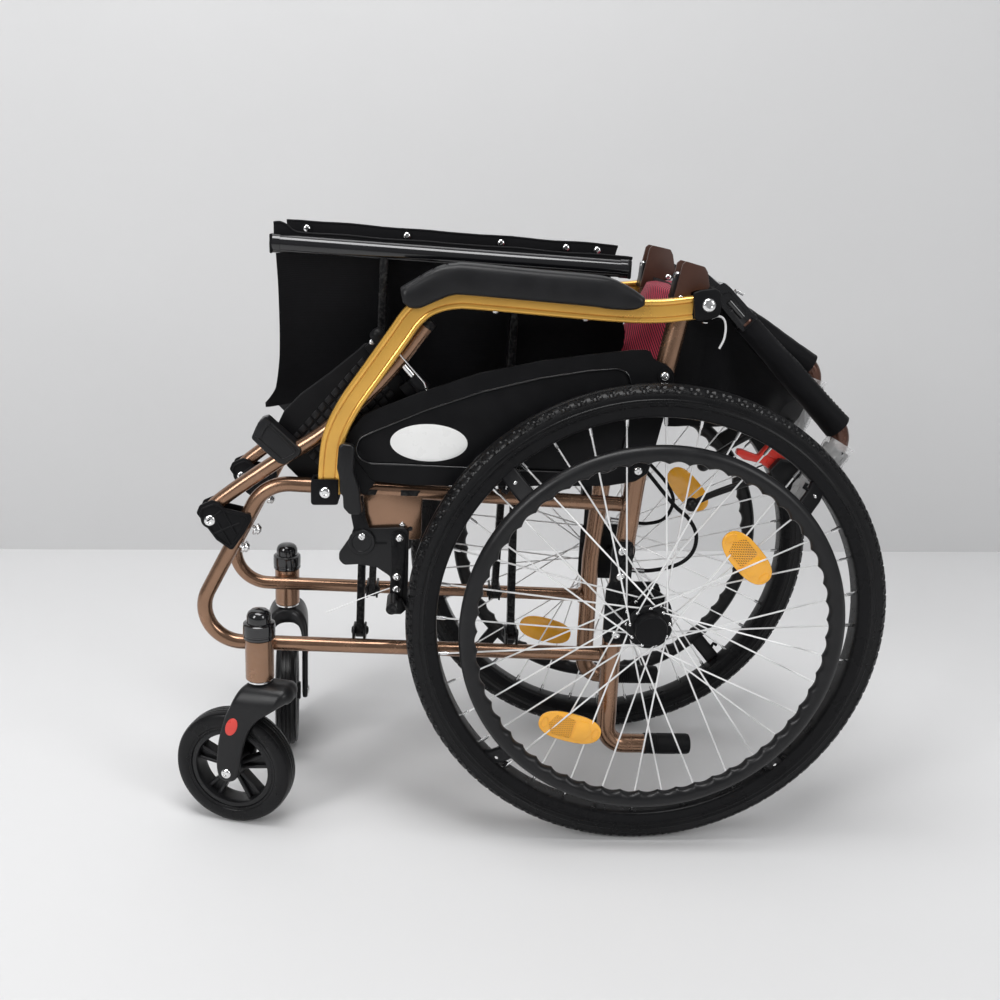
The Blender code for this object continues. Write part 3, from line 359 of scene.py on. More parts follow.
def border(outer, inner, y_span, steps=240):
    """A raised band between two outlines, with eased edges."""
    ring = along_loop(outer, steps)
    shell = bmesh.new()
    rows = []
    for place in ring:
        near = min(inner, key=lambda p: (p - place).length)
        rows.append((place, near))
    insets = []
    for place, near in rows:
        width = (near - place).length
        ease_in = min(0.001, width * 0.3)
        unit = (near - place).normalized()
        insets.append([
            (place, y_span[0]), (place, y_span[1] - math.copysign(0.0008, y_span[1])),
            (place + unit * ease_in, y_span[1]), (near - unit * ease_in, y_span[1]),
            (near, y_span[1] - math.copysign(0.001, y_span[1])), (near, y_span[0]),
        ])
    grid = [[shell.verts.new((p.x, y, p.z)) for p, y in row] for row in insets]
    for k, row in enumerate(grid):
        ahead = grid[(k + 1) % len(grid)]
        for j in range(len(row)):
            n = (j + 1) % len(row)
            shell.faces.new((row[j], ahead[j], ahead[n], row[n]))
    bmesh.ops.remove_doubles(shell, verts=shell.verts, dist=0.000002)
    return shell


def cloth(shell, thickness=0.0012):
    """The surface with a cloth's thickness."""
    bmesh.ops.recalc_face_normals(shell, faces=shell.faces)
    bmesh.ops.solidify(shell, geom=shell.faces, thickness=thickness)
    return shell


def together(*shells):
    """One shell from several."""
    whole = bmesh.new()
    for shell in shells:
        mesh = bpy.data.meshes.new("shape")
        shell.to_mesh(mesh)
        whole.from_mesh(mesh)
        bpy.data.meshes.remove(mesh)
        shell.free()
    return whole


def piece(name, shell, finish, body, stands_for=(), slot=None, smooth=35):
    """A named object, from a shell or a list of them, that rides on a body.

    A slot is worked out from its finish, unless another is given, but it is not used.
    """
    if isinstance(shell, list):
        shell = together(*shell)
    slot = slot or SLOTS.get(finish)
    bmesh.ops.recalc_face_normals(shell, faces=shell.faces)
    mesh = bpy.data.meshes.new(name)
    shell.to_mesh(mesh)
    shell.free()
    mesh.materials.append(finish)
    mesh.shade_smooth()
    mesh.set_sharp_from_angle(angle=math.radians(smooth))
    item = bpy.data.objects.new(name, mesh)
    bpy.context.scene.collection.objects.link(item)
    if body:
        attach(item, body)
    if stands_for:
        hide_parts(*stands_for)
    return item


def eased_copy(name, node, edge, finish, body):
    """A piece with the CAD node's own shape and rounded edges, in its place."""
    shell = bmesh.new()
    shell.from_mesh(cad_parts[node].data)
    bmesh.ops.remove_doubles(shell, verts=shell.verts, dist=0.00001)
    bmesh.ops.recalc_face_normals(shell, faces=shell.faces)
    bmesh.ops.dissolve_limit(shell, angle_limit=math.radians(1), verts=shell.verts, edges=shell.edges)
    return piece(name, eased(shell, edge), finish, body, [node])


# Small fasteners

def screw_head(place, axis, radius, height):
    """A domed head with a round socket."""
    profile = [
        (0.0, 0.35), (0.36, 0.35), (0.42, 0.92), (0.62, 0.86), (0.84, 0.6), (0.97, 0.28), (1.0, 0.0),
        (0.0, -0.05),
    ]
    return turned([(radius * r, height * h) for r, h in profile], 24, place, axis)


def nut(place, axis, radius, height):
    """A six-sided nut with a bolt's round end in it."""
    body = eased(lathe([(0.0, 0.0), (radius, 0.0), (radius, height), (0.0, height)], 6), radius * 0.08, 1)
    end = lathe(
        [
            (0.0, height), (radius * 0.5, height), (radius * 0.5, height * 1.5),
            (radius * 0.35, height * 1.7), (0.0, height * 1.7),
        ],
        16,
    )
    return stood(together(body, end), place, axis)


def rivet(place, axis, radius, height):
    """A plain domed head."""
    profile = [
        (radius * math.cos(math.pi / 2 * k / 6), height * math.sin(math.pi / 2 * k / 6))
        for k in range(7)
    ]
    return turned([(0.0, -0.0002), *profile], 20, place, axis)


# Shared effects, as shader groups

def new_group(name, inputs, outputs):
    """A shader group with named sockets; gives the tree, its input node and its output node."""
    tree = bpy.data.node_groups.new(name, "ShaderNodeTree")
    for label, (kind, value) in inputs.items():
        socket = tree.interface.new_socket(label, in_out="INPUT", socket_type=kind)
        if value is not None:
            socket.default_value = value
    for label, kind in outputs.items():
        tree.interface.new_socket(label, in_out="OUTPUT", socket_type=kind)
    return tree, tree.nodes.new("NodeGroupInput"), tree.nodes.new("NodeGroupOutput")


def add(tree, kind, inputs=None, **settings):
    """A node with its settings; an input is a value or the socket that feeds it."""
    item = tree.nodes.new(kind)
    for key, value in settings.items():
        setattr(item, key, value)
    for key, value in (inputs or {}).items():
        if isinstance(value, bpy.types.NodeSocket):
            tree.links.new(value, item.inputs[key])
        else:
            item.inputs[key].default_value = value
    return item


def math_node(tree, operation, first, second=0.0):
    """The result of one sum."""
    return add(tree, "ShaderNodeMath", {0: first, 1: second}, operation=operation).outputs[0]


def product(tree, first, *others):
    """The product of several values."""
    for other in others:
        first = math_node(tree, "MULTIPLY", first, other)
    return first


def patchy(tree, place, scale, detail, roughness=0.5):
    """Noise at a place, as a value."""
    inputs = {"Vector": place, "Scale": scale, "Detail": detail, "Roughness": roughness}
    return add(tree, "ShaderNodeTexNoise", inputs).outputs[0]


def share_between(tree, value, low, high, soft=False):
    """How far a value lies between two others, from 0 to 1."""
    kind = "SMOOTHSTEP" if soft else "LINEAR"
    return add(tree, "ShaderNodeMapRange", {0: value, 1: low, 2: high}, interpolation_type=kind).outputs[0]


def mixed(tree, share, first, second):
    """A colour between two others."""
    return add(tree, "ShaderNodeMix", {0: share, 6: first, 7: second}, data_type="RGBA").outputs[2]


FLOAT = "NodeSocketFloat"
COLOUR = "NodeSocketColor"
VECTOR = "NodeSocketVector"


def mottling_group():
    """Two close tones in soft patches, with a roughness that changes with them."""
    tree, given, result = new_group(
        "mottling",
        {
            "Place": (VECTOR, None), "Tone": (COLOUR, None), "Other Tone": (COLOUR, None),
            "Scale": (FLOAT, 20.0), "Roughness": (FLOAT, 0.5), "Swing": (FLOAT, 0.1),
        },
        {"Colour": COLOUR, "Roughness": FLOAT},
    )
    source = given.outputs
    share = share_between(
        tree, patchy(tree, source["Place"], source["Scale"], 6.0, 0.6), 0.35, 0.68, soft=True
    )
    offset = product(tree, math_node(tree, "SUBTRACT", share, 0.5), source["Swing"])
    tree.links.new(mixed(tree, share, source["Tone"], source["Other Tone"]), result.inputs["Colour"])
    tree.links.new(math_node(tree, "ADD", offset, source["Roughness"]), result.inputs["Roughness"])
    return tree


def grain_group():
    """The fine pebbled skin of moulded plastic or sprayed paint, as a height."""
    tree, given, result = new_group(
        "grain", {"Place": (VECTOR, None), "Scale": (FLOAT, 800.0), "Softness": (FLOAT, 0.5)},
        {"Height": FLOAT},
    )
    source = given.outputs
    fine = patchy(tree, source["Place"], source["Scale"], 3.0, source["Softness"])
    tree.links.new(fine, result.inputs["Height"])
    return tree


def wear_group():
    """Bare, lighter edges: a mask that is strong on outer corners and broken up by noise."""
    tree, given, result = new_group(
        "edge_wear",
        {"Place": (VECTOR, None), "Amount": (FLOAT, 0.5), "Colour": (COLOUR, None), "Bare": (COLOUR, None)},
        {"Colour": COLOUR, "Mask": FLOAT},
    )
    corner = add(tree, "ShaderNodeNewGeometry").outputs["Pointiness"]
    ridge = share_between(tree, corner, 0.52, 0.6)
    patch = share_between(tree, patchy(tree, given.outputs["Place"], 260.0, 4.0), 0.45, 0.65)
    mask = product(tree, ridge, patch, given.outputs["Amount"])
    tone = mixed(tree, mask, given.outputs["Colour"], given.outputs["Bare"])
    tree.links.new(tone, result.inputs["Colour"])
    tree.links.new(mask, result.inputs["Mask"])
    return tree


def weave_group():
    """Crossed threads, as a height and as a mask of the gaps between them."""
    tree, given, result = new_group(
        "weave",
        {
            "Place": (VECTOR, None), "Pitch": (FLOAT, 0.0012), "Slant": (FLOAT, 0.7), "Cross": (FLOAT, 1.0),
            "Rise": (FLOAT, 0.9),
        },
        {"Height": FLOAT, "Gaps": FLOAT},
    )
    split = add(tree, "ShaderNodeSeparateXYZ", {0: given.outputs["Place"]})
    turns = math_node(tree, "DIVIDE", math.pi, given.outputs["Pitch"])
    beside = math_node(tree, "ABSOLUTE", split.outputs["Y"])
    lean = product(tree, beside, given.outputs["Slant"])
    rise = product(tree, split.outputs["Z"], given.outputs["Rise"])
    ahead = math_node(tree, "ADD", split.outputs["X"], rise)
    warp = product(tree, math_node(tree, "ADD", ahead, lean), turns)
    weft = product(tree, math_node(tree, "SUBTRACT", split.outputs["Z"], lean), turns)
    first = math_node(tree, "ABSOLUTE", math_node(tree, "SINE", warp))
    second = math_node(tree, "ABSOLUTE", math_node(tree, "SINE", weft))
    height = math_node(tree, "MAXIMUM", first, product(tree, second, given.outputs["Cross"]))
    tree.links.new(height, result.inputs["Height"])
    tree.links.new(share_between(tree, height, 0.86, 0.62, soft=True), result.inputs["Gaps"])
    return tree


def dust_and_top_light_group():
    """A thin pale tint on what faces up: partly dust, partly painted light from above."""
    tree, given, result = new_group(
        "dust_and_top_light",
        {"Place": (VECTOR, None), "Colour": (COLOUR, None), "Dust And Top Light": (COLOUR, None), "Amount": (FLOAT, 0.1)},
        {"Colour": COLOUR},
    )
    normal = add(tree, "ShaderNodeNewGeometry").outputs["Normal"]
    up = add(tree, "ShaderNodeSeparateXYZ", {0: normal}).outputs["Z"]
    facing = share_between(tree, up, 0.2, 1.0)
    patch = share_between(tree, patchy(tree, given.outputs["Place"], 90.0, 8.0, 0.7), 0.4, 0.7)
    mask = product(tree, facing, patch, given.outputs["Amount"])
    tone = mixed(tree, mask, given.outputs["Colour"], given.outputs["Dust And Top Light"])
    tree.links.new(tone, result.inputs["Colour"])
    return tree


MOTTLING = mottling_group()
GRAIN = grain_group()
EDGE_WEAR = wear_group()
WEAVE = weave_group()
DUST_AND_TOP_LIGHT = dust_and_top_light_group()
SWING = 0.08
BARE_METAL = (0.35, 0.34, 0.33)
# Pale tone for up-facing faces: partly dust, partly painted top light.
DUST_AND_TOP_LIGHT_TONE = (0.3, 0.29, 0.27)


def fill(tree, group, inputs):
    """One use of a shared effect in a material, with its inputs set."""
    return add(tree, "ShaderNodeGroup", inputs, node_tree=group)


def tint(colour, factor=1.0):
    """A colour with its alpha, made lighter or darker."""
    return (*(min(1.0, c * factor) for c in colour), 1.0)


def finish(
    name, colour, roughness, metallic=0.0, other=1.3, patch=25.0, grain=900.0, depth=0.00002, coat=0.0,
    coat_roughness=0.1, specular=0.5, sheen=0.0, wear=0.0, dust_and_top_light=0.0, weave=0.0, weave_depth=0.0003, cross=1.0,
    gap=0.25,
):
    """A finish with patches of tone, a fine skin and, where asked, worn edges, dust with painted top light,
    or a weave.
    """
    material = bpy.data.materials.new(name)
    material.use_nodes = True
    tree = material.node_tree
    shader = tree.nodes["Principled BSDF"]
    place = add(tree, "ShaderNodeTexCoord").outputs["Object"]
    tone = fill(tree, MOTTLING, {
        "Place": place, "Tone": tint(colour), "Other Tone": tint(colour, other), "Scale": patch,
        "Roughness": roughness, "Swing": SWING,
    })
    shade = tone.outputs["Colour"]
    if wear:
        shade = fill(
            tree, EDGE_WEAR, {"Place": place, "Amount": wear, "Colour": shade, "Bare": tint(BARE_METAL)}
        ).outputs["Colour"]
    # Up-facing faces get a pale tint: partly dust, partly painted light from above.
    if dust_and_top_light:
        shade = fill(
            tree, DUST_AND_TOP_LIGHT, {"Place": place, "Amount": dust_and_top_light, "Colour": shade, "Dust And Top Light": tint(DUST_AND_TOP_LIGHT_TONE)}
        ).outputs["Colour"]
    height = fill(tree, GRAIN, {"Place": place, "Scale": grain}).outputs["Height"]
    bump = add(tree, "ShaderNodeBump", {"Strength": 1.0, "Distance": depth, "Height": height})
    if weave:
        threads = fill(tree, WEAVE, {"Place": place, "Pitch": weave, "Cross": cross})
        bump = add(
            tree, "ShaderNodeBump",
            {
                "Strength": 1.0, "Distance": weave_depth, "Height": threads.outputs["Height"],
                "Normal": bump.outputs[0],
            },
        )
        shade = mixed(tree, threads.outputs["Gaps"], shade, tint(colour, gap))
    tree.links.new(shade, shader.inputs["Base Color"])
    tree.links.new(tone.outputs["Roughness"], shader.inputs["Roughness"])
    tree.links.new(bump.outputs[0], shader.inputs["Normal"])
    shader.inputs["Metallic"].default_value = metallic
    shader.inputs["Coat Weight"].default_value = coat
    shader.inputs["Coat Roughness"].default_value = coat_roughness
    shader.inputs["Specular IOR Level"].default_value = specular
    shader.inputs["Sheen Weight"].default_value = sheen
    return material


BRONZE = finish(
    "bronze_paint", (0.285, 0.168, 0.108), 0.24, 0.9, other=1.15, grain=2600.0, coat=0.12, wear=0.08
)
BRONZE_BENDS = finish("brown_handle_paint", (0.11, 0.05, 0.034), 0.3, 0.55, other=1.2, grain=2600.0, coat=0.2)
BROWN = finish("brown_sleeve_plastic", (0.048, 0.02, 0.013), 0.38, other=1.2, depth=0.00003, specular=0.4)
BLACK_PAINT = finish(
    "black_paint", (0.0045, 0.0045, 0.0052), 0.3, grain=1500.0, coat=0.06, wear=0.08, dust_and_top_light=0.02, specular=0.12
)
GLOSS_PAINT = finish(
    "black_rail_paint", (0.004, 0.004, 0.005), 0.14, grain=900.0, coat=0.6, coat_roughness=0.04
)
PLASTIC = finish(
    "black_plastic", (0.0055, 0.0055, 0.0062), 0.4, grain=1400.0, depth=0.00005, dust_and_top_light=0.02, specular=0.12
)
SOFT_PLASTIC = finish(
    "black_soft_plastic", (0.008, 0.008, 0.0088), 0.34, grain=1100.0, depth=0.00004, specular=0.3
)
# The pad's up-facing faces get the most pale tint, as painted light from above.
PAD_SKIN = finish(
    "arm_pad_skin", (0.011, 0.011, 0.012), 0.36, grain=900.0, depth=0.00006, dust_and_top_light=0.03, specular=0.22
)
RUBBER = finish(
    "black_rubber", (0.0055, 0.0055, 0.0062), 0.48, grain=1200.0, depth=0.00005, dust_and_top_light=0.02, specular=0.14
)
TYRE = finish(
    "tyre_rubber", (0.005, 0.005, 0.0056), 0.3, grain=900.0, depth=0.00003, dust_and_top_light=0.02, specular=0.22
)
GOLD = finish(
    "gold_anodised", (0.86, 0.48, 0.095), 0.24, 0.6, other=0.86, patch=10.0, grain=3000.0, depth=0.00001,
    coat=0.3,
)
STEEL = finish("bright_steel", (0.86, 0.86, 0.86), 0.16, 1.0, other=0.9, grain=2000.0, depth=0.00001)
SPOKE_STEEL = finish("spoke_steel", (0.95, 0.95, 0.95), 0.32, 0.35, other=0.95, depth=0.000005)
# Black hem cloth drawn lighter grey: painted highlight along the slack's edge.
HEM_HIGHLIGHT_CLOTH = finish("hem_painted_highlight", (0.045, 0.045, 0.048), 0.6, other=1.3, patch=40.0, specular=0.2)
CLOTH = finish(
    "black_cloth", (0.0036, 0.0036, 0.0044), 0.55, other=1.7, patch=12.0, sheen=0.03, weave=0.0016,
    weave_depth=0.00012, depth=0.00004, specular=0.1,
)
MESH_CLOTH = finish(
    "red_mesh_cloth", (0.4, 0.03, 0.062), 0.6, other=1.25, sheen=0.05, weave=0.0052, weave_depth=0.0006,
    specular=0.2, cross=0.5, gap=0.07,
)
RED_PLASTIC = finish("red_plastic", (0.72, 0.05, 0.036), 0.3, other=0.9, coat=0.2)
AMBER = finish(
    "amber_reflector", (0.95, 0.42, 0.02), 0.2, other=0.85, coat=0.5, weave=0.003, weave_depth=0.0006
)
AMBER_CLEAR = finish("amber_clear", (0.98, 0.46, 0.03), 0.12, other=0.9, coat=0.7)
WHITE_PLATE = finish("white_plate", (0.86, 0.86, 0.85), 0.3, other=0.97, coat=0.3)
WHITE_CORD = finish("white_tie", (0.88, 0.88, 0.88), 0.5, other=0.9)


def clear_film():
    """Thin crumpled packing film."""
    material = finish("clear_film", (0.9, 0.9, 0.9), 0.12, other=0.95, coat=0.5, grain=120.0, depth=0.002)
    shader = material.node_tree.nodes["Principled BSDF"]
    shader.inputs["Alpha"].default_value = 0.35
    return material


FILM = clear_film()

# The slot of each finish
SLOTS = {
    BRONZE: "bronze_paint", BRONZE_BENDS: "bronze_paint", BROWN: "bronze_paint",
    BLACK_PAINT: "black_paint", GLOSS_PAINT: "black_paint",
    PLASTIC: "black_plastic", SOFT_PLASTIC: "black_plastic", PAD_SKIN: "black_plastic",
    RUBBER: "black_rubber", TYRE: "black_rubber",
    GOLD: "gold_anodised",
    STEEL: "bright_steel", SPOKE_STEEL: "bright_steel",
    CLOTH: "black_cloth", HEM_HIGHLIGHT_CLOTH: "black_cloth",
    MESH_CLOTH: "red_mesh_cloth",
    RED_PLASTIC: "red_plastic",
}


# Side frames

def side_frame(s):
    """The loop of tube, the upright with its tipping lever, the caster's housing and the lugs."""
    side = SIDES[s]
    body = f"{side}_frame"
    y = s * FRAME_Y
    loop = rounded(line([(-24, 446), (-482, 462), (-590, 250), (-34, 239)], y), [0, 0.05, 0.048, 0], step=5)
    upright = rounded(
        line([(20.9, 712), (-20.5, 484), (-34.5, 300), (-33, TIPPING_Z), (20, TIPPING_Z)], y),
        [0, 0.25, 0, 0.06, 0], step=5,
    )
    piece(f"frame_loop_{side}", tube(loop, LOOP_RADIUS, 28), BRONZE, body, [f"side_frame_{side}"])
    piece(f"back_upright_{side}", tube(upright, POST_RADIUS, 32), BRONZE, body)
    weld = lathe([(0.0093, 0.0), (0.0125, 0.0004), (0.0112, 0.003), (0.0093, 0.0042)], 28, closed=True)
    welds = together(
        stood(weld.copy(), chair(-33, y, 446.3), (-1, 0, 0.03)),
        stood(weld.copy(), chair(-46.5, y, 239.2), (-1, 0, 0.02)),
    )
    weld.free()
    piece(f"weld_beads_{side}", welds, BRONZE, body, smooth=60)
    housing = lathe([
        (0.0, 0.2092), (0.0172, 0.2092), (0.018, 0.21), (0.018, 0.2636), (0.0172, 0.2644), (0.0, 0.2644),
    ], 40)
    piece(
        f"caster_housing_{side}", stood(housing, (CASTER_STEM_X, s * CASTER_STEM_Y, 0.0), (0, 0, 1)), BRONZE,
        body,
    )
    gusset = rounded(line([(-361, 395), (-288, 395), (-288, 457), (-361, 457)]), 0.006, True)
    piece(f"gusset_{side}", slab(gusset, across(s, 0.1125, 0.1165)), BRONZE, body)
    tabs = [
        line([(low_x, 452), (low_x, 459.5), (high_x, 459.5), (high_x - 4, 452)])
        for low_x, high_x in ((-361, -342), (-315, -290))
    ]
    tabs = [slab(tab, across(s, 0.11, 0.1176), 0.0008) for tab in tabs]
    # A thin black disc stands for the gusset's hole: painted shade.
    shaded_hole = turned(
        [(0.0, 0.0), (0.003, 0.0), (0.003, 0.0004), (0.0, 0.0004)], 20, chair(-301.9, s * 0.1164, 409.3),
        (0, s, 0),
    )
    piece(f"gusset_tabs_{side}", together(*tabs, shaded_hole), BLACK_PAINT, body)
    rests = []
    for x, top in ((-290, 506.8), (-80, 500.5)):
        x_span = behind(x - 6, x + 6)
        rests.append(box(x_span, across(s, 0.0868, 0.103), (0.448, 0.468)))
        rests.append(box(x_span, across(s, 0.0868, 0.0965), (0.449, 0.515), 0.0015))
        rests.append(box(x_span, across(s, 0.063, 0.09), (top / 1000 - 0.009, top / 1000), 0.0015))
    piece(f"rail_rests_{side}", rests, BLACK_PAINT, body)
    ears = []
    for x in BRACE_PIVOTS[s]:
        for end in (-1, 1):
            x_span = sorted(behind(x + end * 5.5, x + end * 8.5))
            ears.append(box(x_span, across(s, 0.0655, 0.1015), (0.244, 0.262), 0.0008))
        ears.append(rod(*(chair(x + reach, s * BRACE_Y, BRACE_PIVOT_Z) for reach in (-11, 11)), 0.004, 14))
        for end in (-1, 1):
            ears.append(
                screw_head(chair(x + end * 8.5, s * BRACE_Y, BRACE_PIVOT_Z), (end, 0, 0), 0.0058, 0.003)
            )
    piece(f"brace_lugs_{side}", ears, BLACK_PAINT, body)


CHEEK_OUTLINES = {
    LEFT: [(11, 747), (15, 750.5), (38, 745), (42, 739), (46, 722), (35, 704), (3, 702)],
    RIGHT: [(14, 756), (18, 759.5), (43, 755), (47, 748), (52, 726), (36, 704), (4, 702)],
}
CHEEK_RADII = [0.002, 0.002, 0.003, 0.003, 0.004, 0.002, 0.002]


def back_hinge(s):
    """The brown cheeks on top of the upright, with the web between them drawn black as painted shade, and
    their pin.
    """
    side = SIDES[s]
    body = f"{side}_frame"
    spans = ((0.0915, 0.0956), (0.1204, 0.1245))
    parts = [cut_plate(CHEEK_OUTLINES[s], CHEEK_RADII, across(s, *span), 0.001) for span in spans]
    piece(f"back_hinge_{side}", parts, BROWN, body)
    # The bronze web between the cheeks is drawn in black plastic: painted shade.
    shaded_web = line([(7, 735), (14, 737), (15, 724), (21, 713), (30, 706), (30, 703), (5, 702)])
    piece(
        f"hinge_web_shade_{side}", slab(shaded_web, across(s, 0.0945, 0.1215), 0.001), PLASTIC, body, slot="bronze_paint"
    )
    heads = [
        screw_head(chair(9.4, s * 0.108, 733), (-1, 0, 0.12), 0.0048, 0.003),
        screw_head(chair(43, s * 0.0915, 717), (0, -s, 0), 0.005, 0.0024),
        rivet(chair(12, s * 0.1245, 708), (0, s, 0), 0.003, 0.0014),
    ]
    piece(f"back_hinge_screws_{side}", heads, STEEL, body)


BRACKET_OUTLINE = [
    (-564, 424), (-560, 434), (-545, 441), (-536, 438), (-530, 431), (-498, 424), (-497, 417), (-506, 400),
    (-522, 376), (-541, 390),
]


def footrest_bracket(s):
    """The moulded plates on the front bend that carry the hanger, with their rims and ribs."""
    side = SIDES[s]
    body = f"{side}_frame"
    spans = ((0.118, 0.1215), (0.0945, 0.098))
    parts = [cut_plate(BRACKET_OUTLINE, 0.004, across(s, *span), 0.0009) for span in spans]
    rim = rounded(line([(x * 0.86 - 74.2, z * 0.86 + 57.3) for x, z in BRACKET_OUTLINE]), 0.004, True, 20)
    ribs = [
        ((-545, 398), (-512, 413)), ((-538, 413), (-523, 384)), ((-530, 426), (-516, 398)),
        ((-556, 410), (-534, 428)),
    ]
    for height in (0.1215, 0.0945):
        parts.append(bead(rim, s * height, 0.0013, 8))
        for start, end in ribs:
            parts.append(tube(line([start, end], s * height), 0.0012, 8))
    parts.append(cross_rod(s, (-514, 397), 0.095, 0.121, 0.005, 16))
    parts.append(cross_rod(s, HANGER_PIVOT, 0.095, 0.121, 0.0038, 16))
    link = [(-506, 426), (-497, 440), (-481, 458), (-478, 457), (-490, 436), (-500, 422)]
    parts.append(cut_plate(link, 0.002, across(s, 0.0955, 0.0975), 0.0006))
    piece(f"footrest_bracket_{side}", parts, PLASTIC, body, slot="black_paint")
    heads = [
        screw_head(*line([HANGER_PIVOT], s * 0.1213), (0, s, 0), 0.0072, 0.003),
        screw_head(*line([HANGER_PIVOT], s * 0.0947), (0, -s, 0), 0.006, 0.0025),
    ]
    for x, z in ((-499, 404), (-514, 380.5)):
        place = chair(x, s * 0.108, z)
        heads.append(rod(place, place + Vector((0.006, 0, -0.0033)), 0.0034, 16))
        heads.append(nut(place + Vector((0.0035, 0, -0.0019)), (0.87, 0, -0.48), 0.0078, 0.0042))
        heads.append(rivet(place + Vector((0.0072, 0, -0.004)), (0.87, 0, -0.48), 0.0064, 0.0045))
    piece(f"footrest_bolts_{side}", heads, STEEL, body)


def axle_fittings(s):
    """The axle plate with its drum, and the bolts that hold it."""
    side = SIDES[s]
    body = f"{side}_frame"
    eased_copy(f"axle_mount_{side}", f"axle_plate_{side}", 0.0006, BLACK_PAINT, body)
    ring = lathe(
        [
            (0.0362, 0.1262), (0.0368, 0.127), (0.0368, 0.1318), (0.0362, 0.1326), (0.034, 0.1326),
            (0.034, 0.1262),
        ],
        48, closed=True,
    )
    piece(f"drum_band_{side}", stood(ring, WHEEL_CENTRE, (0, s, 0)), BLACK_PAINT, body)
    heads = [
        screw_head(chair(-33, s * 0.1254, z), (0, s, 0), 0.0062, 0.003) for z in (389, 355, 275)
    ]
    heads.append(screw_head(chair(8, s * 0.1254, 338), (0, s, 0), 0.0045, 0.0025))
    piece(f"axle_bolts_{side}", heads, STEEL, body)


def arm_fittings(s):
    """The armrest's rear cheeks and their bolts."""
    side = SIDES[s]
    body = f"{side}_frame"
    outline = [
        (21.5, 716), (30, 719.5), (48, 722), (54, 718), (56, 695), (53, 689.5), (46, 686.5), (30, 683.5),
        (26, 686),
    ]
    outline = rounded(
        line(outline), [0.003, 0.006, 0.006, 0.006, 0.004, 0.004, 0.004, 0.004, 0.004], True, 15
    )
    cheeks = [slab(outline, across(s, *span), 0.0018, 3) for span in ((0.1415, 0.1475), (0.1205, 0.1245))]
    bridge = line([(46, 689), (55, 691), (54, 716), (48, 719)])
    cheeks.append(slab(bridge, across(s, 0.1215, 0.1465), 0.001))
    piece(f"arm_cheeks_{side}", cheeks, PLASTIC, body, [f"arm_bracket_{side}"])
    heads = [
        screw_head(chair(41, s * 0.1475, 702.5), (0, s, 0), 0.0084, 0.0036),
        rivet(chair(42, s * 0.133, 681.5), (0, 0, -1), 0.004, 0.0025),
    ]
    piece(f"arm_bolts_{side}", heads, STEEL, body)
    tie = smooth_path([
        chair(50, s * 0.13, 686), chair(57, s * 0.133, 689), chair(64, s * 0.133, 686),
        chair(68, s * 0.131, 676), chair(68, s * 0.129, 662), chair(64, s * 0.127, 650),
    ])
    piece(f"packing_tie_{side}", tube(tie, 0.0013, 10), WHITE_CORD, body)


def tipping_plug(s):
    """The ribbed rubber plug on the tipping lever."""
    side = SIDES[s]
    profile = [(0.0, 0.0205), (0.0138, 0.0205), (0.014, 0.0215)]
    for k in range(5):
        start = 0.025 + 0.003 * k
        profile += [
            (0.014, start), (0.0134, start + 0.0004), (0.0134, start + 0.0012), (0.014, start + 0.0016)
        ]
    profile += [
        (0.014, 0.064), (0.0134, 0.0645), (0.0134, 0.0655), (0.0138, 0.066), (0.0138, 0.079), (0.0128, 0.082),
        (0.011, 0.083), (0.0, 0.083),
    ]
    piece(
        f"tipping_rubber_{side}", turned(profile, 40, (AXLE.x, s * FRAME_Y, TIPPING_Z / 1000), (1, 0, 0)),
        RUBBER, f"{side}_frame", [f"tipping_plug_{side}"],
    )


PANEL_OUTLINE = [
    (-372, 502), (-380, 530), (-361, 555), (-294, 584), (-223, 610), (-151, 627), (-92, 637), (-41, 644),
    (-19, 645), (-14, 634), (2, 628), (12, 620), (13, 606), (-1, 534), (-9, 492), (-24, 481), (-60, 474),
    (-200, 470), (-300, 468), (-350, 472),
]
INNER_OUTLINE = [
    (-370, 512), (-366, 525), (-349, 534), (-290, 561), (-220, 587), (-150, 606), (-92, 617), (-56, 621),
    (-44, 616), (-38, 600), (-38, 560), (-42, 522), (-48, 498), (-62, 491), (-130, 491), (-250, 492.5),
    (-312, 493.8), (-352, 494), (-366, 500),
]


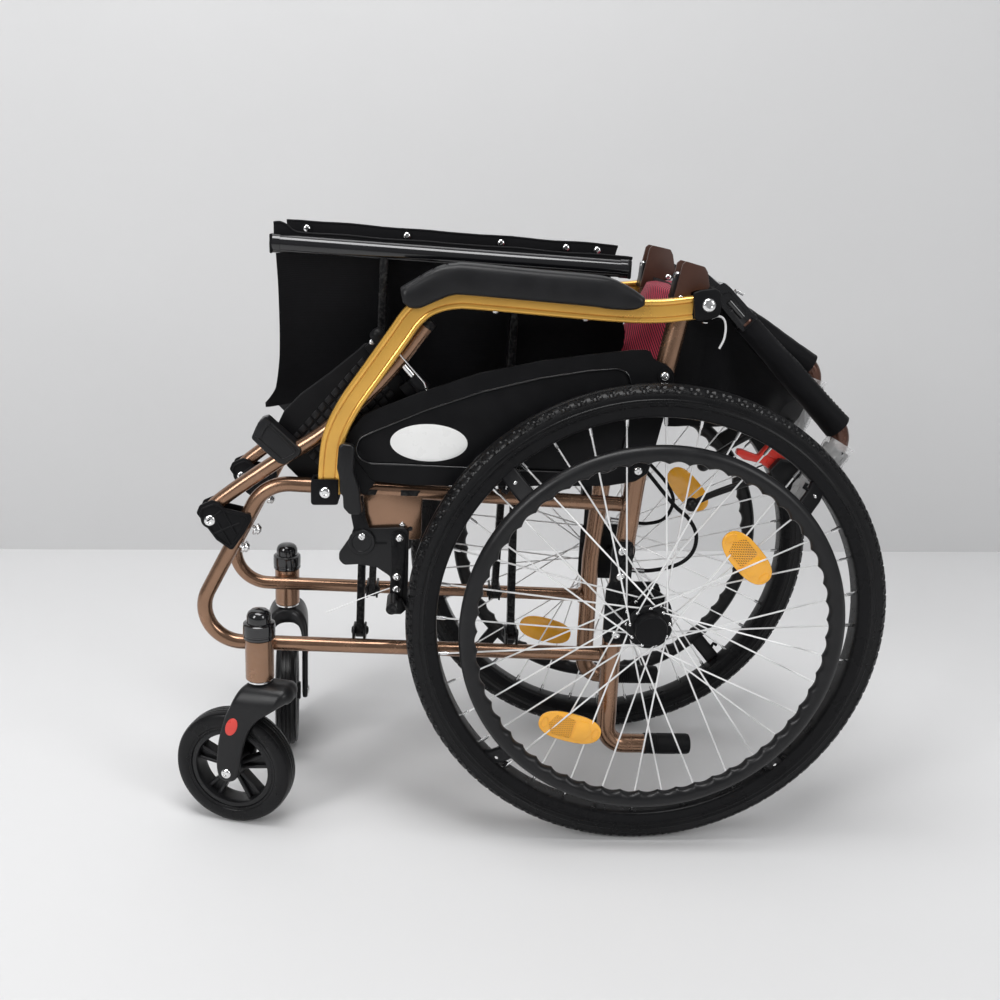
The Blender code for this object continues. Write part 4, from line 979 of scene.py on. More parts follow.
def side_panel(s):
    """The moulded skirt guard: a sunk field inside a raised border, screws and the armrest's socket."""
    side = SIDES[s]
    body = f"{side}_frame"
    outline = rounded(line(PANEL_OUTLINE), 0.01, True, 12)
    bridge = line([(-400, 453), (-358, 455), (-340, 478), (-366, 510), (-400, 474)])
    parts = [
        slab(outline, across(s, 0.1215, 0.1236), 0.0007, 2), slab(bridge, across(s, 0.1218, 0.1238), 0.0004)
    ]
    inner = rounded(line(INNER_OUTLINE), 0.012, True, 10)
    parts.append(border(outline, inner, across(s, 0.1232, 0.1254)))
    piece(f"skirt_guard_{side}", parts, PLASTIC, body, [f"side_panel_{side}"])
    piece(f"guard_bead_{side}", bead(inner, s * 0.125, 0.0013, 12), GLOSS_PAINT, body, slot="black_plastic")
    collars = []
    heads = []
    for x, z in ((1, 614), (-22, 495)):
        collars.append(
            turned(
                [(0.0, 0.0), (0.0095, 0.0), (0.0088, 0.0014), (0.0, 0.0014)], 28, chair(x, s * 0.1252, z),
                (0, s, 0),
            ),
        )
        heads.append(screw_head(chair(x, s * 0.1264, z), (0, s, 0), 0.0056, 0.0028))
    piece(f"guard_collars_{side}", collars, PLASTIC, body)
    piece(f"guard_screws_{side}", heads, STEEL, body)
    plate = lathe([(0.0, 0.0013), (0.8, 0.0013), (0.93, 0.0011), (1.0, 0.0006), (1.0, 0.0)], 72)
    moved(plate, Matrix.Diagonal((0.047, 0.0232, 1.0, 1.0)))
    stood(plate, (0, 0, 0), (0, 0, 1))
    moved(plate, placed(chair(-281.5, s * 0.1235, 522), -90 * s, "X"))
    piece(f"oval_plate_{side}", plate, WHITE_PLATE, body)
    cup = [(-422, 445), (-389, 446), (-389, 478), (-422, 477)]
    floor = line([(-421, 446), (-390, 446), (-390, 456), (-421, 456)])
    parts = [cut_plate(cup, 0.004, across(s, *span)) for span in ((0.118, 0.1246), (0.1414, 0.1445))]
    parts.append(slab(floor, across(s, 0.12, 0.143), 0.0006))
    for x in (-420.5, -390.5):
        parts.append(box(behind(x - 1.3, x + 1.3), across(s, 0.12, 0.143), (0.45, 0.477), 0.0004))
    piece(f"arm_socket_{side}", parts, PLASTIC, body)
    piece(
        f"socket_bolt_{side}", screw_head(chair(-405, s * 0.1443, 461), (0, s, 0), 0.0072, 0.003), STEEL, body
    )


CABLE_LOOPS = {
    LEFT: [
        (-19, 522), (-13, 498), (7, 474), (37, 441), (57, 424), (69, 402), (66, 378), (48, 361), (14, 352),
        (-14, 352),
    ],
    RIGHT: [
        (-19, 522), (-6, 492), (24, 465), (49, 442), (68, 421), (79, 396), (69, 370), (46, 361), (18, 362),
        (-12, 366),
    ],
}
FERRULES = {LEFT: [(-14, 352), (4, 351)], RIGHT: [(-12, 366), (4, 364)]}


def brake_cable(s):
    """The hand brake's cable, down the upright and in a loop to the drum."""
    side = SIDES[s]
    y = s * 0.0905
    path = [chair(10, y, 690), *smooth_path(line(CABLE_LOOPS[s], y), 6)]
    piece(f"brake_line_{side}", tube(path, 0.0026, 14), RUBBER, f"{side}_frame", [f"brake_cable_{side}"])
    piece(f"cable_ferrule_{side}", tube(line(FERRULES[s], y), 0.0035, 14), STEEL, f"{side}_frame")


# Rear wheels

TREAD_BLOCKS = 96
TREAD_STEPS = 9
TREAD_DEPTH = 0.0016
TYRE_PROFILE = [
    (0.2805, 0.014), (0.2815, 0.0164), (0.2832, 0.0171), (0.2848, 0.0166), (0.2866, 0.0172), (0.2878, 0.018),
    (0.2886, 0.018), (0.2892, 0.0174), (0.2915, 0.0172), (0.2938, 0.017), (0.2952, 0.0172), (0.296, 0.0168),
    (0.2974, 0.016), (0.2988, 0.0148), (0.3001, 0.0134), (0.3013, 0.0117), (0.3022, 0.0098), (0.3028, 0.0076),
    (0.3032, 0.005), (0.3034, 0.0022),
]
FIRST_TREAD_POINT = 10


def is_groove(step, row):
    """Whether a tread point lies in one of the slanted cuts, the short forked cuts or the centre line."""
    phase = (step - 0.55 * row) % TREAD_STEPS
    long_cut = phase < 1.2 and row < 8
    fork = 2 <= row <= 5 and (abs((step + 0.5 * row) % TREAD_STEPS - 6.4) < 0.7 or abs(phase - 4.5) < 0.7)
    return long_cut or fork or row == 8


def tyre(s):
    """A pneumatic tyre with slanted tread blocks round its shoulders and ridges on its walls."""
    side = SIDES[s]
    profile = [(r, h, k) for k, (r, h) in enumerate(TYRE_PROFILE)]
    profile += [(r, -h, k) for r, h, k in reversed(profile)]
    steps = TREAD_BLOCKS * TREAD_STEPS

    def shape(u, v):
        turn = round(u * steps)
        radius, height, k = profile[round(v * len(profile)) % len(profile)]
        row = k - FIRST_TREAD_POINT
        if row > 0:
            shift = 0 if height > 0 else TREAD_STEPS // 2
            raised = 0.0 if is_groove(turn + shift, row) else TREAD_DEPTH
            lean = math.atan2(abs(height), radius - 0.287)
            radius += raised * math.cos(lean)
            height += math.copysign(raised * math.sin(lean), height)
        angle = math.tau * u
        return Vector((radius * math.cos(angle), radius * math.sin(angle), height))

    shell = skin(shape, steps, len(profile), wrap_u=True, wrap_v=True)
    stood(shell, (AXLE.x, s * WHEEL_Y, AXLE.z), (0, s, 0))
    piece(f"tyre_casing_{side}", shell, TYRE, f"rear_wheel_{side}", [f"tyre_{side}"], smooth=25)


def rim(s):
    """The deep painted rim, with flat walls and rolled edges."""
    side = SIDES[s]
    half = [
        (0.2662, 0.006), (0.2664, 0.012), (0.2672, 0.014), (0.2686, 0.015), (0.27, 0.0153), (0.279, 0.0158),
        (0.2802, 0.0164), (0.2812, 0.0162), (0.2814, 0.015),
    ]
    profile = half[::-1] + [(0.266, 0.0)] + [(r, -h) for r, h in half]
    shell = turned(profile, 180, (AXLE.x, s * WHEEL_Y, AXLE.z), (0, s, 0), closed=True)
    piece(f"rim_band_{side}", shell, BLACK_PAINT, f"rear_wheel_{side}", [f"rim_{side}"])


SPOKES_PER_SET = 9
SPOKE_LEAN = math.radians(62)
HUB_FLANGE = 0.025
FLANGE_PLANES = (0.1363, 0.1685)
NIPPLE_RADIUS = 0.2664


def spoke_ends(s, flange, lead, number):
    """The hub end and the rim end of one spoke."""
    offset = 0.0012 if lead else -0.0012
    hub_place = s * (FLANGE_PLANES[flange] + offset)
    rim_place = s * (WHEEL_Y + (0.003 if flange else -0.003) + offset)
    rim_angle = math.radians((4 * number + 2 * lead + flange) * 10)
    hub_angle = rim_angle + (SPOKE_LEAN if lead else -SPOKE_LEAN)
    start = Vector((HUB_FLANGE * math.cos(hub_angle), hub_place, HUB_FLANGE * math.sin(hub_angle)))
    end = Vector((math.cos(rim_angle), 0, math.sin(rim_angle))) * NIPPLE_RADIUS + Vector((0, rim_place, 0))
    return start + WHEEL_CENTRE, end + WHEEL_CENTRE


def spokes(s):
    """Four crossed sets of spokes, with their heads on the flanges and nipples at the rim."""
    side = SIDES[s]
    body = f"rear_wheel_{side}"
    wires = []
    nipples = []
    for flange in (0, 1):
        for lead in (0, 1):
            for number in range(SPOKES_PER_SET):
                start, end = spoke_ends(s, flange, lead, number)
                wires.append(rod(start, end, 0.00115, 8))
                back = (start - end).normalized()
                nipples.append(rod(end, end + back * 0.0105, 0.0023, 10))
                nipples.append(rod(end + back * 0.0105, end + back * 0.0125, 0.0017, 10))
                outward = s * (1 if lead else -1)
                nipples.append(
                    rivet(start + Vector((0, outward * 0.0014, 0)), (0, outward, 0), 0.0024, 0.0014)
                )
    piece(f"spoke_set_{side}", wires, SPOKE_STEEL, body, [f"spoked_hub_{side}"])
    piece(f"spoke_nipples_{side}", nipples, STEEL, body)


def hub(s):
    """The black hub shell with its two flanges, and the cap over its end."""
    side = SIDES[s]
    body = f"rear_wheel_{side}"
    profile = [
        (0.007, 0.1709), (0.0235, 0.1709), (0.0282, 0.1702), (0.029, 0.1692), (0.029, 0.1672),
        (0.0282, 0.1662), (0.022, 0.1656), (0.0175, 0.1635), (0.016, 0.16), (0.0155, 0.152), (0.016, 0.144),
        (0.0175, 0.1412), (0.023, 0.1392), (0.0282, 0.1386), (0.029, 0.1376), (0.029, 0.1352),
        (0.0282, 0.1342), (0.007, 0.1339),
    ]
    piece(f"hub_shell_{side}", turned(profile, 60, WHEEL_CENTRE, (0, s, 0), closed=True), BLACK_PAINT, body)
    cap = [
        (0.0, 0.1851), (0.0172, 0.1853), (0.0182, 0.185), (0.0186, 0.1843), (0.019, 0.1843), (0.0198, 0.1838),
        (0.0204, 0.1822), (0.0206, 0.18), (0.0206, 0.1713), (0.0, 0.1713),
    ]
    piece(f"hub_cover_{side}", turned(cap, 60, WHEEL_CENTRE, (0, s, 0)), PLASTIC, body, [f"hub_cap_{side}"])


HANDRIM_SCALLOPS = 56
HANDRIM_RADIUS = 0.229


def handrim(s):
    """The moulded pushing ring with its scalloped inner edge, on four tabs."""
    side = SIDES[s]
    body = f"rear_wheel_{side}"

    def shape(u, v):
        angle = math.tau * u
        around = math.tau * v
        inward = max(0.0, -math.cos(around)) ** 2
        wave = abs(math.sin(HANDRIM_SCALLOPS / 2 * angle)) - 0.6
        radial = 0.0105 * math.cos(around) + 0.0036 * inward * wave
        radius = HANDRIM_RADIUS + radial
        return Vector(
            (radius * math.cos(angle), radius * math.sin(angle), HANDRIM_Y + 0.0088 * math.sin(around))
        )

    ring = stood(
        skin(shape, HANDRIM_SCALLOPS * 10, 24, wrap_u=True, wrap_v=True), WHEEL_CENTRE, (0, s, 0)
    )
    piece(f"push_ring_{side}", ring, SOFT_PLASTIC, body, [f"handrim_{side}"], smooth=50)
    section = oval(0.011, 0.004, 0.003)
    tabs = []
    pins = []
    for number in range(4):
        angle = math.radians(44 + 90 * number)
        outward = Vector((math.cos(angle), 0, math.sin(angle)))
        along = Vector((-math.sin(angle), 0, math.cos(angle)))
        start = WHEEL_CENTRE + outward * 0.2672 + Vector((0, s * 0.164, 0))
        bend = WHEEL_CENTRE + outward * 0.256 + Vector((0, s * 0.1765, 0))
        end = WHEEL_CENTRE + outward * 0.233 + Vector((0, s * 0.19, 0))
        tabs.append(wide_bar([start, bend, end], along, section))
        hook = [
            bend + along * 0.011, bend + along * 0.016 - outward * 0.002,
            bend + along * 0.018 + outward * 0.004,
        ]
        tabs.append(tube(hook, 0.0026, 10))
        pins.append(rivet(bend + Vector((0, s * 0.0035, 0)), (0, s, 0), 0.003, 0.0014))
    piece(f"ring_tabs_{side}", tabs, PLASTIC, body)
    piece(f"ring_screws_{side}", pins, STEEL, body)


def wide_bar(path, side, section):
    """A bar along a path, whose section's width lies along side."""
    rings = []
    for index, place in enumerate(path):
        tangent = (path[min(index + 1, len(path) - 1)] - path[max(index - 1, 0)]).normalized()
        up = tangent.cross(side)
        rings.append([place + side * a + up * b for a, b in section])
    return loft(rings)


REFLECTORS = [((117, 396), (63, -67)), ((-90, 159), (62, -16))]
GRID_CORNERS = ((-0.022, 0.0135), (0.004, 0.0135), (0.004, -0.0135), (-0.022, -0.0135), (-0.029, 0.0))
LENS_CORNERS = ((0.006, 0.0135), (0.022, 0.0135), (0.029, 0.0), (0.022, -0.0135), (0.006, -0.0135))


def reflectors(s):
    """The amber reflectors that are clipped between the spokes."""
    side = SIDES[s]
    body = f"rear_wheel_{side}"
    for number, (place, slope) in enumerate(REFLECTORS):
        along = Vector((slope[0], 0, slope[1])).normalized()
        up = Vector((-along.z, 0, along.x))
        centre = chair(place[0], s * 0.16, place[1])

        def outline(length, width, corners=36):
            points = []
            for k in range(corners):
                angle = math.tau * k / corners
                a = abs(math.cos(angle)) ** 0.75 * math.copysign(1, math.cos(angle)) * length
                b = abs(math.sin(angle)) ** 0.85 * math.copysign(1, math.sin(angle)) * width
                points.append(centre + along * a + up * b)
            return points

        case = slab(outline(0.042, 0.0195), (s * 0.1575, s * 0.1618), 0.0012, 3)
        piece(f"reflector_case_{side}_{number + 1}", case, AMBER_CLEAR, body)
        for name, corners, colour in (("grid", GRID_CORNERS, AMBER), ("lens", LENS_CORNERS, AMBER_CLEAR)):
            window = rounded([centre + along * a + up * b for a, b in corners], 0.003, True, 20)
            shell = slab(window, across(s, 0.161, 0.1626), 0.0004)
            piece(f"reflector_{name}_{side}_{number + 1}", shell, colour, body)

        def lug_point(end, angle):
            shift = along * (end * 0.0345 + 0.004 * math.cos(angle)) + up * (0.008 * math.sin(angle))
            return centre + shift + Vector((0, s * 0.0019, 0))

        loops = [[lug_point(end, math.tau * k / 20) for k in range(20)] for end in (-1, 1)]
        lugs = [tube(loop, 0.0007, 8, closed=True) for loop in loops]
        piece(f"reflector_lugs_{side}_{number + 1}", lugs, AMBER_CLEAR, body)


# Casters, about their stems

CASTER_STEM_X = AXLE.x - 0.489
CASTER_TRAIL = 0.036
CASTER_AXLE_Z = 0.0795
SWIVEL_DEG = {LEFT: 165.0, RIGHT: -84.3}


def caster(s):
    """One caster: fork with its cap, five-spoke wheel and tyre."""
    side = SIDES[s]
    swivel = f"caster_swivel_{side}"
    roller = f"caster_roller_{side}"
    stem = placed((CASTER_STEM_X, s * CASTER_STEM_Y, 0), SWIVEL_DEG[s], "Z")
    piece(f"fork_{side}", moved(fork_shell(), stem), SOFT_PLASTIC, swivel, [f"caster_fork_{side}"], smooth=50)
    cap = lathe([
        (0.0, 0.303), (0.006, 0.3028), (0.0105, 0.3016), (0.0136, 0.299), (0.0152, 0.295), (0.0155, 0.29),
        (0.0155, 0.2862), (0.0184, 0.2856), (0.0198, 0.2844), (0.0202, 0.281), (0.0202, 0.2716),
        (0.0194, 0.2708), (0.0194, 0.269), (0.0199, 0.2684), (0.0199, 0.2656), (0.019, 0.265), (0.0, 0.265),
    ], 48)
    piece(f"stem_cap_{side}", moved(cap, stem), GLOSS_PAINT, swivel, slot="black_plastic")
    ring = lathe(
        [(0.0, 0.2086), (0.016, 0.2086), (0.0165, 0.208), (0.0165, 0.2062), (0.015, 0.2056), (0.0, 0.2056)],
        40,
    )
    piece(f"stem_race_{side}", moved(ring, stem), STEEL, swivel)
    bolts = together(
        screw_head((CASTER_TRAIL, 0.0302, CASTER_AXLE_Z + 0.002), (0, 1, 0), 0.0068, 0.003),
        nut((CASTER_TRAIL, -0.0302, CASTER_AXLE_Z + 0.002), (0, -1, 0), 0.0062, 0.0024),
    )
    piece(f"caster_bolt_{side}", moved(bolts, stem), STEEL, swivel)
    ovals = []
    for end in (-1, 1):
        badge = lathe([(0.0, 0.001), (0.86, 0.001), (0.96, 0.0007), (1.0, 0.0)], 48)
        moved(badge, Matrix.Diagonal((0.0135, 0.0076, 1.0, 1.0)))
        moved(badge, Matrix.Rotation(math.radians(-112 * end), 4, "Z"))
        moved(badge, placed((0.0268, end * 0.0302, 0.15), -90 * end, "X"))
        ovals.append(badge)
    piece(f"fork_ovals_{side}", moved(together(*ovals), stem), RED_PLASTIC, swivel)
    axle = stem @ placed((CASTER_TRAIL, 0, CASTER_AXLE_Z), 90, "X")
    piece(f"caster_core_{side}", moved(caster_core(), axle), SOFT_PLASTIC, roller, [f"caster_wheel_{side}"])
    profile = [
        (0.0563, 0.013), (0.057, 0.0142), (0.06, 0.015), (0.0606, 0.0146), (0.0614, 0.0152), (0.068, 0.0157),
        (0.074, 0.015), (0.0766, 0.0134), (0.0758, 0.0128), (0.0757, 0.012), (0.0776, 0.0114), (0.079, 0.009),
        (0.0794, 0.0064), (0.0781, 0.0058), (0.0781, 0.0048), (0.0795, 0.0042), (0.0795, 0.0012),
        (0.0783, 0.0006),
    ]
    profile += [(r, -h) for r, h in reversed(profile)]
    piece(
        f"caster_rubber_{side}", moved(lathe(profile, 96, closed=True), axle), TYRE, roller,
        [f"caster_tyre_{side}"], smooth=40,
    )


FORK_STATIONS = [
    (30, 41, 26.2, 69.5, 4.5), (25, 46, 26.2, 72.5, 7.0), (20.5, 49, 26.2, 80, 8.2), (18, 50, 26.2, 92, 8.4),
    (15.5, 49, 26.2, 108, 8.4), (11, 46, 26.2, 128, 8.4), (3, 41, 26.2, 148, 8.4), (-9, 36, 26.0, 163, 9.0),
    (-24, 31, 25.0, 174, 11.0), (-36, 27, 22.0, 183, 15.0), (-44, 23, 15.0, 190.0, 22.0),
    (-47, 19, 7.0, 192.0, 26.0), (-47, 18, 0.0, 192.2, 26.6),
]


def fork_shell():
    """One smooth moulding: a leg, the broad crown and the other leg, as sections along an arch."""
    stations = smooth_path([Vector(row) for row in FORK_STATIONS], 4)
    stations += [Vector((a, b, -y, z, thick)) for a, b, y, z, thick in reversed(stations[:-1])]
    rings = []
    for index, (front, rear, y, z, thick) in enumerate(stations):
        before = stations[max(index - 1, 0)]
        after = stations[min(index + 1, len(stations) - 1)]
        tangent = Vector((0, after[2] - before[2], after[3] - before[3])).normalized()
        up = tangent.cross(Vector((1, 0, 0)))
        centre = Vector(((front + rear) / 2, y, z))
        section = oval((rear - front) / 2, thick / 2, 0.46 * thick, 6)
        rings.append([(centre + Vector((a, 0, 0)) + up * b) / 1000 for a, b in section])
    return loft(rings)


def caster_core():
    """The wheel's core: a stepped band, a boss and five doubled spokes."""
    band = lathe([
        (0.0562, 0.013), (0.0562, -0.013), (0.054, -0.014), (0.05, -0.0138), (0.0492, -0.012),
        (0.0486, -0.007), (0.0484, 0.0), (0.0486, 0.007), (0.0492, 0.012), (0.05, 0.0138), (0.054, 0.014),
    ], 72, closed=True)
    boss = lathe(
        [
            (0.0045, 0.0195), (0.0122, 0.0195), (0.0134, 0.0185), (0.0138, 0.0), (0.0134, -0.0185),
            (0.0122, -0.0195), (0.0045, -0.0195),
        ],
        36, closed=True,
    )
    parts = [band, boss]
    for number in range(5):
        angle = math.radians(90 + 72 * number)
        for lean in (-1, 1):
            start = Vector((0.011, lean * 0.003, 0))
            end = Vector((0.0495, lean * 0.0085, 0))
            arm = wide_bar([start, end], Vector((0, 0, 1)), oval(0.008, 0.0024, 0.0014))
            parts.append(moved(arm, Matrix.Rotation(angle, 4, "Z")))
        web = wide_bar(
            [Vector((0.011, 0, 0)), Vector((0.0492, 0, 0))], Vector((0, 0, 1)), oval(0.003, 0.006, 0.0014)
        )
        parts.append(moved(web, Matrix.Rotation(angle, 4, "Z")))
    return together(*parts)


# Armrests

ARM_LINE = [
    (-400, 458), (-400, 486), (-395, 528), (-378, 566), (-350, 608), (-322, 649), (-304, 675), (-284, 691),
    (-256, 699), (-220, 699), (-78, 692), (-20, 692), (20, 697), (45, 701),
]


def arm_section():
    """The flat tube's section: flat faces between a groove and a round bead at each edge."""
    quarter = [
        (0.0068, 0.0), (0.007, 0.005), (0.0069, 0.0062), (0.0056, 0.0066), (0.0056, 0.0073), (0.0072, 0.0078),
        (0.0079, 0.0092), (0.008, 0.0106), (0.0077, 0.012), (0.0066, 0.0132), (0.0046, 0.0138),
        (0.002, 0.0139),
    ]
    top = quarter + [(-a, b) for a, b in reversed(quarter[1:])]
    return top + [(-a, -b) for a, b in top[1:-1]]


def armrest(s):
    """The gold flat tube on its rear pivot, with its studs, knuckle and moulded pad."""
    side = SIDES[s]
    body = f"armrest_{side}"
    path = smooth_path(line(ARM_LINE, s * ARM_Y), 6)
    strip = sweep(path, arm_section())
    piece(f"arm_strip_{side}", strip, GOLD, body, [f"arm_tube_{side}"], smooth=25)
    knuckle = together(
        turned(
            [(0.0, 0.1252), (0.012, 0.1252), (0.013, 0.126), (0.013, 0.14), (0.012, 0.1408), (0.0, 0.1408)],
            32, (AXLE.x + 0.045, 0, 0.701), (0, s, 0),
        ),
        slab(line([(24, 685), (48, 688), (48, 714), (24, 712)]), across(s, 0.1246, 0.1412), 0.0012),
    )
    piece(f"arm_knuckle_{side}", knuckle, PLASTIC, body, slot="gold_anodised")
    studs = [
        rivet(chair(x, s * ARM_Y, z), (0, 0, -1), 0.0042, 0.0028)
        for x, z in ((-208, 684.5), (-101, 679.5))
    ]
    piece(f"arm_studs_{side}", studs, STEEL, body)
    pad_shell(s)


PAD_TOP = [
    (-319, 707.5), (-303, 717.5), (-286, 728), (-272, 734.5), (-257, 737.5), (-240, 738.3), (-160, 734),
    (-95, 731), (-72, 727.5), (-52, 719), (-36, 709),
]
PAD_LOW = [
    (-315.5, 691), (-307, 685.5), (-296, 685.8), (-278, 694), (-260, 701.5), (-242, 702.5), (-160, 698.5),
    (-100, 695.5), (-72, 693), (-48, 693.5), (-36, 699),
]
PAD_SLOTS = (-266, -281, -295.5)
PAD_HALF_WIDTH = 0.024


def pad_shell(s):
    """The arm pad: a flat-topped moulding with a rounded nose and three finger slots."""
    side = SIDES[s]
    tops = smooth_path(line(PAD_TOP), 8)
    lows = smooth_path(line(PAD_LOW), 8)
    places = [float(k) for k in range(len(tops))]
    dips = {}
    for x in PAD_SLOTS:
        reach = chair(x, 0, 0).x
        index = next(k for k in range(len(tops) - 1) if tops[k].x <= reach < tops[k + 1].x)
        middle_place = index + (reach - tops[index].x) / (tops[index + 1].x - tops[index].x)
        step = 0.001 / (tops[index + 1].x - tops[index].x)
        places = [p for p in places if abs(p - middle_place) > 2.2 * step]
        for offset, depth in ((-1.5, 0.0), (-0.9, 0.0016), (0.9, 0.0016), (1.5, 0.0)):
            places.append(middle_place + offset * step)
            dips[middle_place + offset * step] = depth
    places.sort()

    def at(path, place):
        index = min(int(place), len(path) - 2)
        return path[index].lerp(path[index + 1], place - index)

    def shape(u, v):
        place = places[round(u * (len(places) - 1))]
        top = at(tops, place)
        low = at(lows, place)
        share = place / (len(tops) - 1)
        end_share = min(1.0, min(share, 1 - share) / 0.05)
        width = PAD_HALF_WIDTH * (0.84 + 0.16 * math.sqrt(1 - (1 - end_share) ** 2))
        angle = math.tau * v
        a = math.copysign(abs(math.cos(angle)) ** 0.3, math.cos(angle))
        b = math.copysign(abs(math.sin(angle)) ** 0.3, math.sin(angle))
        up = (b + 1) / 2
        point = low.lerp(top, up)
        if b > 0.9 and abs(a) < 0.8:
            point = point - (top - low).normalized() * dips.get(place, 0.0)
        narrow = 1 - 0.22 * max(0.0, (up - 0.6) / 0.4)
        return Vector((point.x, s * ARM_Y + a * width * min(1.0, 0.9 + 0.16 * up) * narrow, point.z))

    shell = skin(shape, len(places) - 1, 64, wrap_v=True)
    bmesh.ops.holes_fill(shell, edges=[e for e in shell.edges if e.is_boundary], sides=0)
    piece(f"arm_pad_skin_{side}", shell, PAD_SKIN, f"armrest_{side}", [f"arm_pad_{side}"], smooth=40)


# Footrests, stowed over the front of the frame

PLATE_HINGE = chair(-318, 0, 617)
PLATE_AWAY = Vector((math.cos(math.radians(222)), 0, math.sin(math.radians(222))))
PLATE_UP = Vector((PLATE_AWAY.z, 0, -PLATE_AWAY.x))
HANGER_LINE = [
    HANGER_PIVOT, (-541, 434), (-475, 484), (-412, 526), (-357, 577), (-318, 622), (-301, 645), (-286, 666)
]
CLIP_OUTLINE = [
    (-496, 520), (-490, 534), (-485, 543), (-477, 546), (-455, 526), (-435, 507), (-438, 500), (-457, 488),
    (-464, 490), (-480, 504),
]
PLATE_OUTLINE = [
    (0.016, 0.0445), (0.0314, 0.0434), (0.0758, 0.0445), (0.1207, 0.0475), (0.15, 0.045), (0.168, 0.0374),
    (0.187, 0.022), (0.195, -0.01), (0.194, -0.034), (0.182, -0.05), (0.012, -0.051),
]


def plate_point(s, away, up, y):
    """A point beside the footplate's hinge."""
    return PLATE_HINGE + PLATE_AWAY * away + PLATE_UP * up + Vector((0, s * y, 0))


def footrest(s):
    """The bronze hanger with its clip, and the footplate with its grip blocks."""
    side = SIDES[s]
    body = f"footrest_{side}"
    y = s * FRAME_Y
    path = smooth_path(line(HANGER_LINE, y), 8)
    piece(f"hanger_tube_{side}", tube(path, LOOP_RADIUS, 28), BRONZE, body, [f"hanger_{side}"])
    knuckle = turned(
        [
            (0.0044, 0.0986), (0.0112, 0.0986), (0.012, 0.0994), (0.012, 0.1166), (0.0112, 0.1174),
            (0.0044, 0.1174),
        ],
        32, *line([HANGER_PIVOT]), (0, s, 0), closed=True,
    )
    end = chair(-286, y, 666)
    outward = (end - chair(-301, y, 645)).normalized()
    plug = turned(
        [(0.0, -0.006), (0.01, -0.006), (0.01, 0.0015), (0.0088, 0.0035), (0.0, 0.0042)], 28, end, outward
    )
    piece(f"hanger_knuckle_{side}", together(knuckle, plug), BLACK_PAINT, body)
    pin = rod(plate_point(s, 0, -0.05, FRAME_Y), plate_point(s, 0, 0.046, FRAME_Y), 0.004, 16)
    piece(f"hanger_pin_{side}", pin, STEEL, body)
    rim = line([(-488, 521), (-482, 538), (-476, 540), (-442, 506), (-446, 502), (-459, 495)])
    tongue = [(-492, 524), (-487, 540), (-478, 548), (-471, 541), (-478, 533), (-484, 520)]
    clip = together(
        cut_plate(CLIP_OUTLINE, 0.004, across(s, 0.0962, 0.1215), 0.0026, 4, 15),
        bead(rounded(rim, 0.003, True, 20), s * 0.1212, 0.0014, 10),
        cut_plate(tongue, 0.002, across(s, 0.119, 0.1232), 0.001),
    )
    piece(f"hanger_clip_{side}", clip, SOFT_PLASTIC, body, [f"footplate_clip_{side}"])
    outline = rounded([plate_point(s, a, b, 0) for a, b in PLATE_OUTLINE], 0.01, True, 12)
    parts = [slab(outline, across(s, 0.0895, 0.095), 0.0018, 3)]
    for low, high in ((0.02, 0.041), (-0.044, -0.022)):
        web = [
            plate_point(s, a, b, 0)
            for a, b in ((-0.007, low), (0.022, low), (0.022, high), (-0.007, high))
        ]
        parts.append(slab(web, across(s, 0.0898, 0.107), 0.0008))
        parts.append(rod(plate_point(s, 0, low, FRAME_Y), plate_point(s, 0, high, FRAME_Y), 0.0095, 28))
    dome = lathe([(0.0095, 0.0), (0.0092, 0.003), (0.008, 0.0062), (0.0055, 0.0086), (0.0, 0.0096)], 28)
    parts.append(stood(dome, plate_point(s, 0, 0.041, FRAME_Y), PLATE_UP))
    piece(f"footplate_body_{side}", parts, PLASTIC, f"foot_platform_{side}", [f"footplate_{side}"])
    wire = [plate_point(s, a, b, 0.1165) for a, b in ((-0.0062, 0.014), (-0.0062, -0.036), (-0.004, -0.042))]
    piece(f"plate_spring_{side}", tube(wire, 0.0011, 10), STEEL, f"foot_platform_{side}")
    screw = screw_head(plate_point(s, 0.011, 0.04, 0.107), (0, s, 0), 0.0034, 0.002)
    piece(f"plate_screw_{side}", screw, STEEL, f"foot_platform_{side}")
    blocks = []
    for row in range(11):
        for column in range(6):
            away = 0.16 - 0.0122 * row
            up = 0.0115 + 0.0017 * row - 0.0103 * column
            if up < -0.045:
                continue
            half = [(-0.0046, -0.0038), (0.0046, -0.0038), (0.0046, 0.0038), (-0.0046, 0.0038)]
            square = [plate_point(s, away + a, up + b - 0.14 * a, 0) for a, b in half]
            blocks.append(slab(square, across(s, 0.0945, 0.0966), 0.0009, 2))
    piece(f"footplate_blocks_{side}", blocks, PAD_SKIN, f"foot_platform_{side}")


# Parking brakes

BRAKE_OUTLINE = [
    (-369, 409), (-390, 377), (-390, 368), (-384, 361), (-366, 362.5), (-343, 359), (-325.5, 347),
    (-326, 320), (-311, 300), (-303, 305), (-303.5, 412), (-322, 412),
]
GRIP_OUTLINE = [
    (-388, 521), (-384, 525.5), (-372, 524), (-369, 520), (-370, 490), (-363, 469), (-359.5, 438),
    (-375, 438), (-382, 446), (-382.6, 460), (-386.2, 466), (-386.3, 481), (-390, 495),
]


